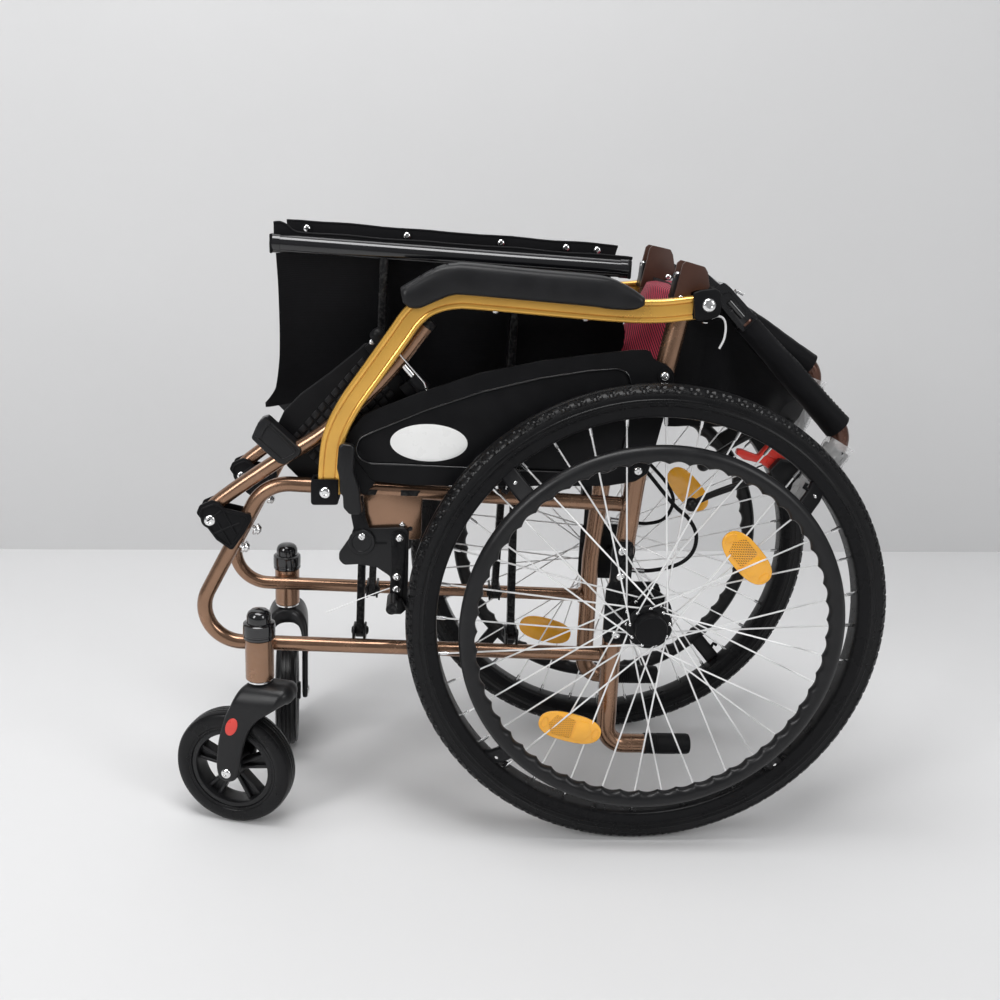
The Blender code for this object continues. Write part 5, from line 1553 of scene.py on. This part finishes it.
def parking_brake(s):
    """The brake's plate, lever and shoe, with their bolts."""
    side = SIDES[s]
    plate = together(
        cut_plate(BRAKE_OUTLINE, 0.007, across(s, 0.116, 0.1225), 0.0014, 3, 12),
        cut_plate([(-349, 396), (-327, 396), (-327, 387), (-349, 387)], 0.004, across(s, 0.1215, 0.1226), 0),
    )
    piece(f"brake_mount_{side}", plate, SOFT_PLASTIC, f"{side}_frame", slot="black_paint")
    slot = cut_plate(
        [(-346, 393.2), (-330, 393.6), (-330, 390.2), (-346, 389.8)], 0.0017, across(s, 0.1222, 0.1228), 0
    )
    piece(f"brake_slot_{side}", slot, RUBBER, f"{side}_frame", slot="black_paint")
    lever = f"parking_lever_{side}"
    shoe = f"parking_shoe_{side}"
    foot = [
        (-378, 392), (-362, 380), (-346, 392), (-352, 411), (-357, 425), (-359, 446), (-376, 446),
        (-375, 426), (-372, 411),
    ]
    steel = together(
        cut_plate(foot, 0.004, across(s, 0.1229, 0.125), 0.0006, 2, 15),
        box(behind(-375.5, -359.5), across(s, 0.124, 0.15), (0.4385, 0.445), 0.0012),
    )
    piece(f"brake_lever_foot_{side}", steel, BLACK_PAINT, lever, [f"brake_lever_{side}"])
    boss = lathe(
        [
            (0.0, 0.125), (0.0165, 0.125), (0.0165, 0.1272), (0.0158, 0.128), (0.0124, 0.128),
            (0.0116, 0.1272), (0.0, 0.1272),
        ],
        44,
    )
    piece(
        f"brake_boss_{side}", stood(boss, chair(-361.6, 0, 393.5), (0, s, 0)), SOFT_PLASTIC, lever,
        slot="black_paint",
    )
    grip = cut_plate(GRIP_OUTLINE, 0.005, across(s, 0.1455, 0.158), 0.003, 4, 12)
    piece(f"brake_lever_grip_{side}", grip, SOFT_PLASTIC, lever)
    arm = [(-325, 405), (-315, 410), (-305.5, 404), (-307, 360), (-309, 318), (-326, 318), (-324, 360)]
    block = [(-327, 320), (-326.5, 300.5), (-311, 300.5), (-304.5, 307), (-311, 320)]
    press = together(
        cut_plate(arm, 0.005, across(s, 0.1229, 0.1256), 0.0008, 2, 15),
        cut_plate(block, 0.002, across(s, 0.1235, 0.133), 0.001),
        cross_rod(s, (-322, 320), 0.124, 0.165, 0.007, 24),
    )
    piece(f"brake_shoe_arm_{side}", press, BLACK_PAINT, shoe, [f"brake_shoe_{side}"])
    piece(
        f"brake_lever_bolt_{side}", screw_head(chair(-361.4, s * 0.127, 401), (0, s, 0), 0.0052, 0.003),
        STEEL, lever,
    )
    heads = [
        screw_head(chair(x, s * 0.1256, z), (0, s, 0), 0.0052, 0.003)
        for x, z in ((-315, 399.6), (-317.5, 348.4), (-317.5, 331.3))
    ]
    piece(f"brake_shoe_bolts_{side}", heads, STEEL, shoe)
    stack = together(
        rod(chair(-312, s * 0.114, 398), chair(-312, s * 0.114, 418), 0.003, 14),
        nut(chair(-312, s * 0.114, 412), (0, 0, 1), 0.0052, 0.004),
    )
    piece(f"brake_clamp_bolt_{side}", stack, STEEL, f"{side}_frame")
    tie = smooth_path([
        chair(-326, s * 0.1262, 333), chair(-345, s * 0.1275, 326), chair(-374, s * 0.127, 313),
        chair(-405, s * 0.1262, 299),
    ])
    piece(f"brake_tie_{side}", tube(tie, 0.0007, 8), WHITE_CORD, f"{side}_frame")


# Push handles, each about its back hinge; X runs along the folded post and -Z towards the grip

BACK_HINGE = chair(30, 0, 734)
FOLDED_DEG = {LEFT: 43.6, RIGHT: 32.0}
POST_LIFT = {LEFT: 0.0085, RIGHT: 0.0105}
HANDLE_LENGTH = 0.285
GRIP_TURN = (0.2566, -0.9665)
LEVER_SHIFT = {LEFT: 0.0145, RIGHT: 0.004}


def fold_frame(s):
    """The places about the back hinge, with X along the folded post's line."""
    return placed(BACK_HINGE, FOLDED_DEG[s], "Y")


def handle_frame(s):
    """The folded handle's own places; its tube runs a little outside the hinge."""
    return fold_frame(s) @ Matrix.Translation((0, 0, POST_LIFT[s]))


def grip_line(s, distance):
    """A point on the grip's middle line, past the bend's corner."""
    return Vector((HANDLE_LENGTH + GRIP_TURN[0] * distance, s * FRAME_Y, GRIP_TURN[1] * distance))


def push_handle(s):
    """The upper back tube with its grip, brake lever and catch."""
    side = SIDES[s]
    body = f"push_handle_{side}"
    hold = handle_frame(s)
    levers = fold_frame(s) @ Matrix.Translation((LEVER_SHIFT[s], 0, 0.001))
    y = s * FRAME_Y
    corners = [Vector((0.084, y, 0)), Vector((HANDLE_LENGTH, y, 0)), grip_line(s, 0.104)]
    post = tube(rounded(corners, [0, 0.03, 0], step=5), 0.0115, 28)
    piece(f"handle_tube_{side}", moved(post, hold), BRONZE_BENDS, body, [f"handle_post_{side}"])
    outline = flat([(0.026, -0.0105), (0.09, -0.0125), (0.09, 0.0125), (0.04, 0.012), (0.026, 0.0105)])
    inner = flat([(0.036, -0.0062), (0.088, -0.0062), (0.088, 0.0072), (0.042, 0.0072)])
    outline = rounded(outline, [0.004, 0.003, 0.003, 0.008, 0.008], True, 12)
    inner = rounded(inner, 0.0025, True, 20)
    shroud = together(
        slab(outline, (y - 0.01, y + 0.01), 0.002, 3),
        shifted(border(outline, inner, (0.009, 0.012)), y),
        shifted(border(outline, inner, (-0.009, -0.012)), y),
    )
    piece(f"hinge_shroud_{side}", moved(shroud, hold), GLOSS_PAINT, body)
    lug = turned(
        [(0.0, -0.0118), (0.011, -0.0118), (0.0118, -0.011), (0.0118, 0.011), (0.011, 0.0118), (0.0, 0.0118)],
        36, (0, y, 0), (0, 1, 0),
    )
    neck = slab(
        flat([(0.0, -0.0105), (0.03, -0.004), (0.03, 0.015), (0.0, 0.0105)]), (y - 0.0105, y + 0.0105), 0.0014
    )
    piece(f"hinge_lug_{side}", moved(together(lug, neck), fold_frame(s)), GLOSS_PAINT, body)
    latch = together(
        rod((0.05, y + s * 0.002, 0.0003), (0.076, y + s * 0.002, 0.0003), 0.0042, 16),
        rod((0.06, y + s * 0.002, -0.007), (0.06, y + s * 0.002, 0.005), 0.0024, 12),
    )
    piece(f"hinge_latch_{side}", moved(shifted(latch, s * 0.0078), hold), GLOSS_PAINT, body)
    wing = together(
        rod((0.052, y, 0.011), (0.052, y, 0.018), 0.0021, 12),
        wide_bar(
            [Vector((0.048, y, 0.0155)), Vector((0.0585, y, 0.019))], Vector((0, 1, 0)),
            oval(0.0034, 0.0015, 0.001),
        ),
    )
    piece(f"hinge_stud_{side}", moved(wing, hold), STEEL, body)
    start = grip_line(s, 0.0)
    along = Vector((GRIP_TURN[0], 0, GRIP_TURN[1]))
    profile = [(0.0122, 0.03), (0.015, 0.03), (0.0158, 0.032)]
    for k in range(16):
        low = 0.035 + 0.0042 * k
        profile += [(0.0158, low), (0.0146, low + 0.0006), (0.0146, low + 0.0016), (0.0158, low + 0.0022)]
    profile += [(0.0158, 0.106), (0.015, 0.1095), (0.0128, 0.1108), (0.0, 0.111)]
    piece(
        f"grip_rubber_{side}", moved(turned(profile, 40, start, along), hold), RUBBER, body,
        [f"push_grip_{side}"],
    )
    housing = [
        (262, -26), (284, -24), (290, -60), (288, -90), (274, -96), (244, -91), (242, -70), (254, -62),
        (258, -40),
    ]
    places = flat(housing, 1000)
    mount = together(
        slab(rounded(places, 0.005, True, 15), across(s, 0.0795, 0.0916), 0.002, 3),
        rod((0.276, s * 0.085, -0.03), (0.276, s * 0.0965, -0.03), 0.009, 24),
        rod((0.276, s * 0.0655, -0.078), (0.276, s * 0.085, -0.078), 0.0032, 14),
        rod((0.25, s * 0.0655, -0.078), (0.25, s * 0.085, -0.078), 0.0028, 14),
    )
    clamp = turned(
        [(0.0122, 0.018), (0.016, 0.018), (0.0168, 0.02), (0.0168, 0.028), (0.016, 0.03), (0.0122, 0.03)], 36,
        start, along, closed=True,
    )
    piece(
        f"brake_housing_{side}", together(moved(mount, levers), moved(clamp, hold)), SOFT_PLASTIC, body,
        slot="black_rubber",
    )
    screws = together(
        screw_head((0.279, s * 0.0795, -0.03), (0, -s, 0), 0.0042, 0.0022),
        screw_head((0.266, s * 0.0916, -0.036), (0, s, 0), 0.0042, 0.0022),
        rivet((0.276, s * 0.0655, -0.078), (0, -s, 0), 0.0046, 0.0018),
    )
    piece(f"brake_housing_screws_{side}", moved(screws, levers), STEEL, body)
    path = smooth_path(
        [
            Vector((x / 1000, s * 0.0725, z / 1000))
            for x, z in ((284, -73), (266, -84), (250, -107), (235, -136), (222, -165), (215, -187))
        ],
        6,
    )
    lever = together(
        sweep(path, oval(0.0058, 0.0056, 0.004, 6), size=lambda t: 1.0 - 0.35 * t),
        turned(
            [(0.0094 * math.sin(math.pi * k / 14), -0.0094 * math.cos(math.pi * k / 14)) for k in range(15)],
            28, (0.214, s * 0.0725, -0.192), (0, 0, 1),
        ),
    )
    piece(
        f"lever_arm_{side}", moved(lever, levers), SOFT_PLASTIC, f"hand_lever_{side}",
        [f"hand_brake_lever_{side}"], slot="black_paint",
    )
    outline = [
        (202, -106), (199, -100), (204, -96), (224, -87), (222, -68), (252, -61), (260, -76), (252, -88),
        (234, -91), (214, -104),
    ]
    rounded_outline = rounded(
        flat(outline, 1000), [0.002, 0.002, 0.003, 0.004, 0.002, 0.003, 0.003, 0.004, 0.006, 0.006], True, 15
    )
    catch = slab(rounded_outline, across(s, 0.0665, 0.0785), 0.0018, 2)
    ridge = slab(flat([(224, -70), (250, -64), (247, -72), (228, -79)], 1000), across(s, 0.078, 0.08), 0.0008)
    eye = turned(
        [(0.0022, 0.0), (0.005, 0.0), (0.005, 0.0012), (0.0022, 0.0012)], 24, (0.25, s * 0.0785, -0.078),
        (0, s, 0), closed=True,
    )
    piece(
        f"catch_{side}", moved(together(catch, ridge, eye), levers), RED_PLASTIC, f"hand_catch_{side}",
        [f"hand_brake_lock_{side}"],
    )
    grip_film(s, hold)


def shifted(shell, y):
    """The shell moved across the chair."""
    return moved(shell, Matrix.Translation((0, y, 0)))


def grip_film(s, hold):
    """The packing film, crumpled round the grip."""
    side = SIDES[s]
    start = grip_line(s, 0.01)
    end = grip_line(s, 0.113)
    along = (end - start).normalized()
    first = Vector((0, 1, 0))
    second = along.cross(first)

    def shape(u, v):
        angle = math.tau * v
        radius = 0.0182 + 0.0022 * wander((4 * math.cos(angle), 4 * math.sin(angle), 9 * u), 1.0, 3.0 + s)
        radius += 0.0012 * math.sin(5 * angle + 20 * u)
        return start.lerp(end, u) + (first * math.cos(angle) + second * math.sin(angle)) * radius

    shell = skin(shape, 22, 44, wrap_v=True)
    piece(f"grip_film_{side}", moved(shell, hold), FILM, f"push_handle_{side}", smooth=18)


# Back cloth

CLOTH_EDGE = 0.085
LEAF_START = 0.036
LEAF_LENGTH = 0.216
SLEEVE_START = 0.088
SLEEVE_LENGTH = 0.18


def sleeve_radius(share):
    """The sleeve widens towards the grip."""
    return 0.0138 + 0.0036 * share


def across_back(place, y, lift):
    """A point of the slack sheet between the two folded posts, lift above it."""
    near = fold_frame(LEFT) @ Vector((place, -FRAME_Y, lift))
    far = fold_frame(RIGHT) @ Vector((place, FRAME_Y, lift))
    return near.lerp(far, (y + FRAME_Y) / (2 * FRAME_Y))


def flattened(leaf):
    """Gives the leaf its own copy of its mesh."""
    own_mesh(leaf)


def upper_cloth(s):
    """The sleeve round one handle's post, and the leaf that hangs from it across the back."""
    side = SIDES[s]
    body = f"push_handle_{side}"
    hold = handle_frame(s)
    y = s * FRAME_Y

    def sleeve_point(u, v):
        angle = math.tau * v
        place = SLEEVE_START + SLEEVE_LENGTH * u
        radius = sleeve_radius(u)
        radius += 0.0006 * wander((3 * math.cos(angle), 3 * math.sin(angle), 14 * u), 1.0, 7.0 + s)
        radius += 0.0006 * math.sin(9 * u + 2 * angle) * math.sin(math.pi * u)
        return Vector((place, y + radius * math.cos(angle), radius * math.sin(angle)))

    sleeve = cloth(skin(sleeve_point, 44, 44, wrap_v=True), 0.0012)
    sleeve_piece = piece(
        f"back_sleeve_{side}", moved(sleeve, hold), CLOTH, body, [f"back_cloth_upper_{side}"], smooth=60
    )
    lift = 0.0 if s == LEFT else 0.006

    def leaf_point(u, v):
        place = LEAF_START + LEAF_LENGTH * v
        spread = s * (0.0955 - 0.18 * u)
        swell = math.sin(math.pi * min(1.0, 1.2 * u)) * (0.35 + 0.65 * math.sin(math.pi * v))
        ripple = 0.0018 * math.sin(math.tau * (2.1 * u + 0.35 * math.sin(4 * v) + 0.15))
        crumple = 0.001 * wander((place, spread, 0), 30, 5.0)
        return across_back(place, spread, lift + swell * ripple + crumple)

    leaf = cloth(skin(leaf_point, 44, 30), 0.0012)
    leaf_piece = piece(f"back_leaf_{side}", leaf, CLOTH, body, smooth=60)
    flattened(leaf_piece)
    seam = [sleeve_seam(s, k / 60) for k in range(61)]
    stitches = [rod(seam[k], seam[k + 1], 0.00045, 6) for k in range(0, 60, 2)]
    rim_path = [sleeve_point(0.0, k / 44) for k in range(44)]
    hem = tube(rim_path, 0.0012, 8, closed=True)
    stitch_piece = piece(
        f"sleeve_stitches_{side}", moved(together(*stitches), hold), RUBBER, body, slot="black_cloth"
    )
    hem_piece = piece(f"sleeve_hem_{side}", moved(hem, hold), CLOTH, body)


def sleeve_seam(s, share):
    """A point of the seam along the sleeve's upper side."""
    place = SLEEVE_START + 0.002 + (SLEEVE_LENGTH - 0.004) * share
    radius = sleeve_radius(share) + 0.0009
    angle = math.radians(62)
    return Vector((place, s * FRAME_Y + s * radius * math.cos(angle), radius * math.sin(angle)))


MESH_HALF_WIDTH = 0.04
MESH_LIFT = -0.0074


def upper_centre():
    """The mesh leaf between the two black ones, with its black borders."""
    def strip_between(first, last):
        def point(u, v):
            place = LEAF_START + LEAF_LENGTH * v
            y = first + (last - first) * u
            ripple = 0.001 * math.sin(math.tau * (y / 0.17 * 1.5 + 0.3 * v))
            return across_back(place, y, MESH_LIFT + ripple)

        return cloth(skin(point, 22, 40), 0.0014)

    body = "back_centre_upper"
    mesh = piece(
        "back_mesh_upper", strip_between(-MESH_HALF_WIDTH, MESH_HALF_WIDTH), MESH_CLOTH, body,
        ["back_cloth_upper_centre"], smooth=60,
    )
    flattened(mesh)
    for s in (LEFT, RIGHT):
        band = strip_between(s * MESH_HALF_WIDTH, s * CLOTH_EDGE)
        border_piece = piece(f"back_mesh_border_{SIDES[s]}", band, CLOTH, body, smooth=60)
        flattened(border_piece)


UPRIGHT_DEG = 10.26
UPRIGHT_FRAME = placed(chair(-20.1, 0, 486), UPRIGHT_DEG, "Y")
DRAPE_BOTTOM = 0.545
DRAPE_TOP = 0.712
DRAPE_FRONT = 0.016
DRAPE_LENGTH = 0.172


def drape_point(s, u, v):
    """The slack cloth behind an upright, hanging in folds under the folded handle."""
    x = DRAPE_FRONT + DRAPE_LENGTH * u - 0.014 * (1 - v) * u ** 3
    top = min(0.734 - 0.952 * (x - 0.03) + 0.003, DRAPE_TOP)
    z = DRAPE_BOTTOM + (top - DRAPE_BOTTOM) * v
    slack = 1 - v ** 3
    fold = 0.0052 * math.sin(math.tau * (2.5 * u + 0.2 + 0.1 * (1 - v))) * min(1.0, 4 * u) * slack
    crumple = 0.0018 * wander((x, z, 0), 22, 11.0 + s) * (0.3 + 0.7 * slack)
    y = 0.0882 - 0.045 * u ** 1.5 * slack + fold + crumple
    return Vector((AXLE.x + x, s * y, z))


def lower_cloth(s):
    """One side of the lower back cloth, and the slack that hangs behind it."""
    side = SIDES[s]
    body = f"{side}_frame"
    base = 0.0 if s == LEFT else 0.0059

    def leaf_point(u, v):
        spread = s * (0.0905 - 0.175 * u)
        height = 0.046 + 0.189 * v
        ripple = 0.0012 * math.sin(math.tau * (2 * u + 0.2 * v)) * math.sin(math.pi * u)
        return UPRIGHT_FRAME @ Vector((base + ripple, spread, height))

    leaf = piece(
        f"back_lower_leaf_{side}", cloth(skin(leaf_point, 40, 24), 0.0012), CLOTH, body,
        [f"back_cloth_lower_{side}"], smooth=60,
    )
    slack = piece(
        f"back_slack_{side}", cloth(skin(lambda u, v: drape_point(s, u, v), 60, 36), 0.0012), CLOTH, body,
        smooth=60,
    )
    # The black hem is drawn lighter grey as painted highlight.
    hem = tube([drape_point(s, 0.0, k / 24) + Vector((0, s * 0.0006, 0)) for k in range(25)], 0.0011, 10)
    hem_piece = piece(f"slack_hem_{side}", hem, HEM_HIGHLIGHT_CLOTH, body)


BULGE = 0.038
TURN_START = 0.8
TURN_OVER = 0.072


def lower_centre():
    """The mesh leaf of the lower back, which bulges forwards and turns over the top."""
    def point(u, v):
        y = CLOTH_EDGE * (2 * u - 1)
        rise = min(1.0, v / TURN_START)
        height = 0.045 + 0.183 * rise
        bulge = BULGE * math.cos(math.pi * (u - 0.5)) * math.sin(math.pi * (0.12 + 0.76 * rise))
        crumple = 0.0014 * wander((0, y, height), 26, 21.0)
        place = UPRIGHT_FRAME @ Vector((-0.0065 - bulge + crumple, y, height))
        over = max(0.0, (v - TURN_START) / (1 - TURN_START))
        return place + Vector((TURN_OVER * over, 0, 0.004 * math.sin(math.pi * over) - 0.004 * over))

    leaf = piece(
        "back_mesh_lower", cloth(skin(point, 44, 64), 0.0014), MESH_CLOTH, "back_centre_lower",
        ["back_cloth_lower_centre"], smooth=60,
    )


# Cross brace and seat

RAIL_SLOPE = -0.03
RAIL_MIDDLE = -259.5
RAIL_MIDDLE_Z = 0.742
RAIL_FRONT = -476
RAIL_REAR = -43
STRIP_SCREWS = (-448.7, -317.9, -193.1, -105.8, -63.7)


def rail_height(x):
    """Height of a seat rail's middle, from millimetres behind the axle, in metres."""
    return RAIL_MIDDLE_Z + RAIL_SLOPE * (x - RAIL_MIDDLE) / 1000


def rail_point(x, s, lift=0.0):
    """A point on a seat rail's middle line."""
    return Vector((AXLE.x + x / 1000, s * BRACE_Y, rail_height(x) + lift))


def brace(s, letter, upper_x):
    """Half of the cross brace: two flat bars from side s, and the seat rail that they carry."""
    body = f"brace_{letter}"
    rail = together(
        rod(rail_point(RAIL_FRONT + 8, -s), rail_point(RAIL_REAR - 8, -s), 0.0103, 36),
        rod(rail_point(RAIL_FRONT, -s), rail_point(RAIL_FRONT + 12, -s), 0.0112, 36),
        rod(rail_point(RAIL_REAR - 12, -s), rail_point(RAIL_REAR, -s), 0.0112, 36),
    )
    piece(f"seat_rail_{SIDES[-s]}", rail, GLOSS_PAINT, body, [f"cross_arm_{letter}"])
    ends = []
    for x in (RAIL_REAR - 3, RAIL_FRONT + 3):
        reach = (4, 0) if x > -200 else (0, 3)
        middle_z = rail_height(x)
        span = behind(x - reach[1], x + reach[0])
        ends.append(
            box(
                span, across(-s, BRACE_Y - 0.0116, BRACE_Y + 0.0116), (middle_z - 0.0114, middle_z + 0.0114),
                0.003,
            ),
        )
    piece(f"rail_plugs_{SIDES[-s]}", ends, RUBBER, body, slot="black_plastic")
    bars = []
    heads = []
    for low_x, high_x in zip(BRACE_PIVOTS[s], upper_x):
        start = chair(low_x, s * BRACE_Y, BRACE_PIVOT_Z)
        end = rail_point(high_x, -s)
        bars.append(wide_bar([start, end], Vector((1, 0, 0)), oval(0.005, 0.009, 0.0022)))
        bars.append(rod(start - Vector((0.005, 0, 0)), start + Vector((0.005, 0, 0)), 0.009, 28))
        heads.append(screw_head(start.lerp(end, 0.5) + Vector((-0.0052, 0, 0)), (-1, 0, 0), 0.007, 0.003))
        heads.append(screw_head(start.lerp(end, 0.5) + Vector((0.0052, 0, 0)), (1, 0, 0), 0.007, 0.003))
    piece(f"brace_bars_{letter}", bars, BLACK_PAINT, body)
    piece(f"brace_bolts_{letter}", heads, STEEL, body)
    strip(-s, body)


STRIP_SHAPES = {
    LEFT: [
        (-474, 23), (-466, 24), (-458, 21), (-450, 15.5), (-430, 13.8), (-330, 13.4), (-200, 13.6),
        (-90, 13.2), (-50, 13.5), (-38, 13),
    ],
    RIGHT: [(-475, 23), (-440, 24), (-330, 23), (-200, 22.6), (-90, 22.3), (-50, 22), (-36, 21.6)],
}


def strip(s, body):
    """The stiff edge of the seat cloth on one rail, with its screws."""
    side = SIDES[s]
    low = [(x, rail_height(x) * 1000 - 4) for x in range(-474, -36, 12)]
    top = []
    for place in smooth_path([Vector((x, lift, 0)) for x, lift in STRIP_SHAPES[s]], 6):
        waver = 0.5 * math.sin(0.06 * place.x) + 0.8 * wander((place.x, 0, 0), 0.02, 2.0)
        top.append((place.x, rail_height(place.x) * 1000 + place.y + waver))
    outline = line(low + top[::-1])
    piece(f"seat_hem_{side}", slab(outline, across(s, 0.0602, 0.0632), 0.0006), CLOTH, body, smooth=50)
    piece(f"seat_piping_{side}", tube(line(top, s * 0.0617), 0.0019, 8), CLOTH, body, smooth=50)
    rings = []
    heads = []
    lift = 0.015 if s == RIGHT else 0.0085
    for x in STRIP_SCREWS:
        place = Vector((AXLE.x + x / 1000, s * 0.0602, rail_height(x) + lift))
        rings.append(turned([(0.0, 0.0), (0.007, 0.0), (0.0066, 0.001), (0.0, 0.001)], 24, place, (0, -s, 0)))
        heads.append(screw_head(place + Vector((0, -s * 0.0008, 0)), (0, -s, 0), 0.005, 0.0026))
    piece(f"hem_rings_{side}", rings, PLASTIC, body)
    piece(f"hem_screws_{side}", heads, STEEL, body)


SLING_SECTION = [(61.7, 742), (53.5, 730), (40, 700), (28, 660), (13, 610), (4.5, 572), (0, 558.5)]
SLING_FRONT = -473
SLING_LENGTH = 388
FOLD_FRONT = -385
FOLD_REAR = -200


def sling_point(u, v):
    """The seat cloth: u along the rails, v across from the left rail to the right one."""
    x = SLING_FRONT + SLING_LENGTH * u
    side = -1 if v < 0.5 else 1
    depth = 1 - abs(2 * v - 1)
    place = depth * (len(SLING_SECTION) - 1)
    index = min(int(place), len(SLING_SECTION) - 2)
    share = place - index
    low, high = SLING_SECTION[index], SLING_SECTION[index + 1]
    y = (low[0] + (high[0] - low[0]) * share) / 1000
    z = (low[1] + (high[1] - low[1]) * share) / 1000
    slack = math.sin(math.pi * depth)
    ripple = (
        0.0022 * math.sin(5 * math.pi * u + 2 * v) + 0.0016 * wander((x / 1000, z, side), 16, 31.0)
    ) * slack
    drop = 0.0015 * math.sin(7 * math.pi * u) * depth
    front = blended(0.0, 1.0, (FOLD_FRONT - x) / 85)
    rear = blended(0.0, 1.0, (x - FOLD_REAR) / 115)
    reach = AXLE.x + (x - 24 * front * depth ** 5 + rear * (9 + 42 * min(1.0, 2 * depth))) / 1000
    height = z + RAIL_SLOPE * (x - RAIL_MIDDLE) / 1000 + drop - 0.024 * front * depth ** 2
    return Vector((reach, side * y + ripple, height))


def seat():
    """The seat cloth, folded down between the rails, as one sheet on no body; each half is shaped to hang
    from its rail.
    """
    shell = cloth(skin(sling_point, 90, 96), 0.0014)
    sling = piece("seat_cloth", shell, CLOTH, None, ["seat_sling"], smooth=60)
    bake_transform(sling)


# Floor, wall, lamps and camera

WALL_FOOT = ((-1.243, 0.938), (1.188, 1.094))
WALL_MARGIN = 6
WALL_HEIGHT = 6
FLOOR_DEPTH = 9
TONES = {"floor": 0.72, "wall": 0.64}


def floor_and_wall():
    """A pale floor that meets a pale wall behind the chair."""
    left, right = (Vector((AXLE.x + x, y, 0)) for x, y in WALL_FOOT)
    along = (right - left).normalized()
    ahead = Vector((along.y, -along.x, 0)) * FLOOR_DEPTH
    up = Vector((0, 0, WALL_HEIGHT))
    ends = [left - along * WALL_MARGIN, right + along * WALL_MARGIN]
    shapes = {
        "floor": [ends[0], ends[1], ends[1] + ahead, ends[0] + ahead],
        "wall": [ends[0], ends[1], ends[1] + up, ends[0] + up],
    }
    for name, points in shapes.items():
        shell = bmesh.new()
        shell.faces.new([shell.verts.new(p) for p in points])
        mesh = bpy.data.meshes.new(name)
        shell.to_mesh(mesh)
        shell.free()
        item = bpy.data.objects.new(name, mesh)
        bpy.context.scene.collection.objects.link(item)
        mesh.materials.append(studio_paint(name, TONES[name]))


def studio_paint(name, tone):
    """A pale, slightly uneven matt finish; the wall is clear from behind, so that views from there work."""
    material = bpy.data.materials.new(f"studio_{name}")
    material.use_nodes = True
    tree = material.node_tree
    shader = tree.nodes["Principled BSDF"]
    place = add(tree, "ShaderNodeTexCoord").outputs["Object"]
    tones = fill(tree, MOTTLING, {
        "Place": place, "Tone": (tone, tone, tone * 1.005, 1),
        "Other Tone": (tone * 0.985, tone * 0.985, tone * 0.99, 1),
        "Scale": 1.2, "Roughness": 0.75, "Swing": 0.05,
    })
    tree.links.new(tones.outputs["Colour"], shader.inputs["Base Color"])
    tree.links.new(tones.outputs["Roughness"], shader.inputs["Roughness"])
    shader.inputs["Specular IOR Level"].default_value = 0.2
    if name == "wall":
        seen_from_rear = add(tree, "ShaderNodeNewGeometry").outputs["Backfacing"]
        tree.links.new(math_node(tree, "SUBTRACT", 1.0, seen_from_rear), shader.inputs["Alpha"])
    return material


def lamp(name, place, target, size, power):
    """A soft square lamp that faces a point."""
    data = bpy.data.lights.new(name, "AREA")
    data.shape = "RECTANGLE"
    data.size = size[0]
    data.size_y = size[1]
    data.energy = power
    item = bpy.data.objects.new(name, data)
    item.location = place
    item.rotation_euler = (Vector(target) - Vector(place)).to_track_quat("-Z", "Y").to_euler()
    bpy.context.scene.collection.objects.link(item)


def studio():
    """The world's even light and the lamps."""
    world = bpy.data.worlds.new("studio")
    bpy.context.scene.world = world
    world.use_nodes = True
    background = world.node_tree.nodes["Background"]
    background.inputs["Color"].default_value = (0.93, 0.94, 0.96, 1)
    background.inputs["Strength"].default_value = 0.27
    centre = (0, 0, 0.35)
    lamp("overhead", (-0.4, -0.6, 3.2), centre, (2.4, 1.2), 66)
    lamp("front_left", (-2.7, -3.0, 2.4), centre, (1.2, 2.0), 70)
    lamp("front_right", (2.9, -2.8, 2.2), centre, (1.0, 2.0), 40)


def camera():
    """The camera at the photograph's place."""
    forward = Vector((
        math.sin(CAMERA_YAW) * math.cos(CAMERA_PITCH), math.cos(CAMERA_YAW) * math.cos(CAMERA_PITCH),
        -math.sin(CAMERA_PITCH),
    ))
    level = Vector((math.cos(CAMERA_YAW), -math.sin(CAMERA_YAW), 0))
    down = forward.cross(level)
    right = level * math.cos(CAMERA_ROLL) + down * math.sin(CAMERA_ROLL)
    below = down * math.cos(CAMERA_ROLL) - level * math.sin(CAMERA_ROLL)
    data = bpy.data.cameras.new("camera")
    data.sensor_width = SENSOR_WIDTH
    data.lens = CAMERA_LENS
    item = bpy.data.objects.new("camera", data)
    turn = Matrix((right, -below, -forward)).transposed().to_4x4()
    item.matrix_world = Matrix.Translation(CAMERA_PLACE) @ turn
    bpy.context.scene.collection.objects.link(item)
    bpy.context.scene.camera = item


# The whole chair

SIDE_PARTS = (
    side_frame, back_hinge, footrest_bracket, axle_fittings, arm_fittings, tipping_plug, side_panel,
    brake_cable, tyre, rim, spokes, hub, handrim, reflectors, caster, armrest, footrest, parking_brake,
    push_handle, upper_cloth, lower_cloth,
)
for s in SIDES:
    for build in SIDE_PARTS:
        build(s)
upper_centre()
lower_centre()
brace(LEFT, "a", (-366, -166))
brace(RIGHT, "b", (-341, -179.5))
seat()

floor_and_wall()
studio()
camera()
bpy.context.scene.view_settings.view_transform = "Standard"
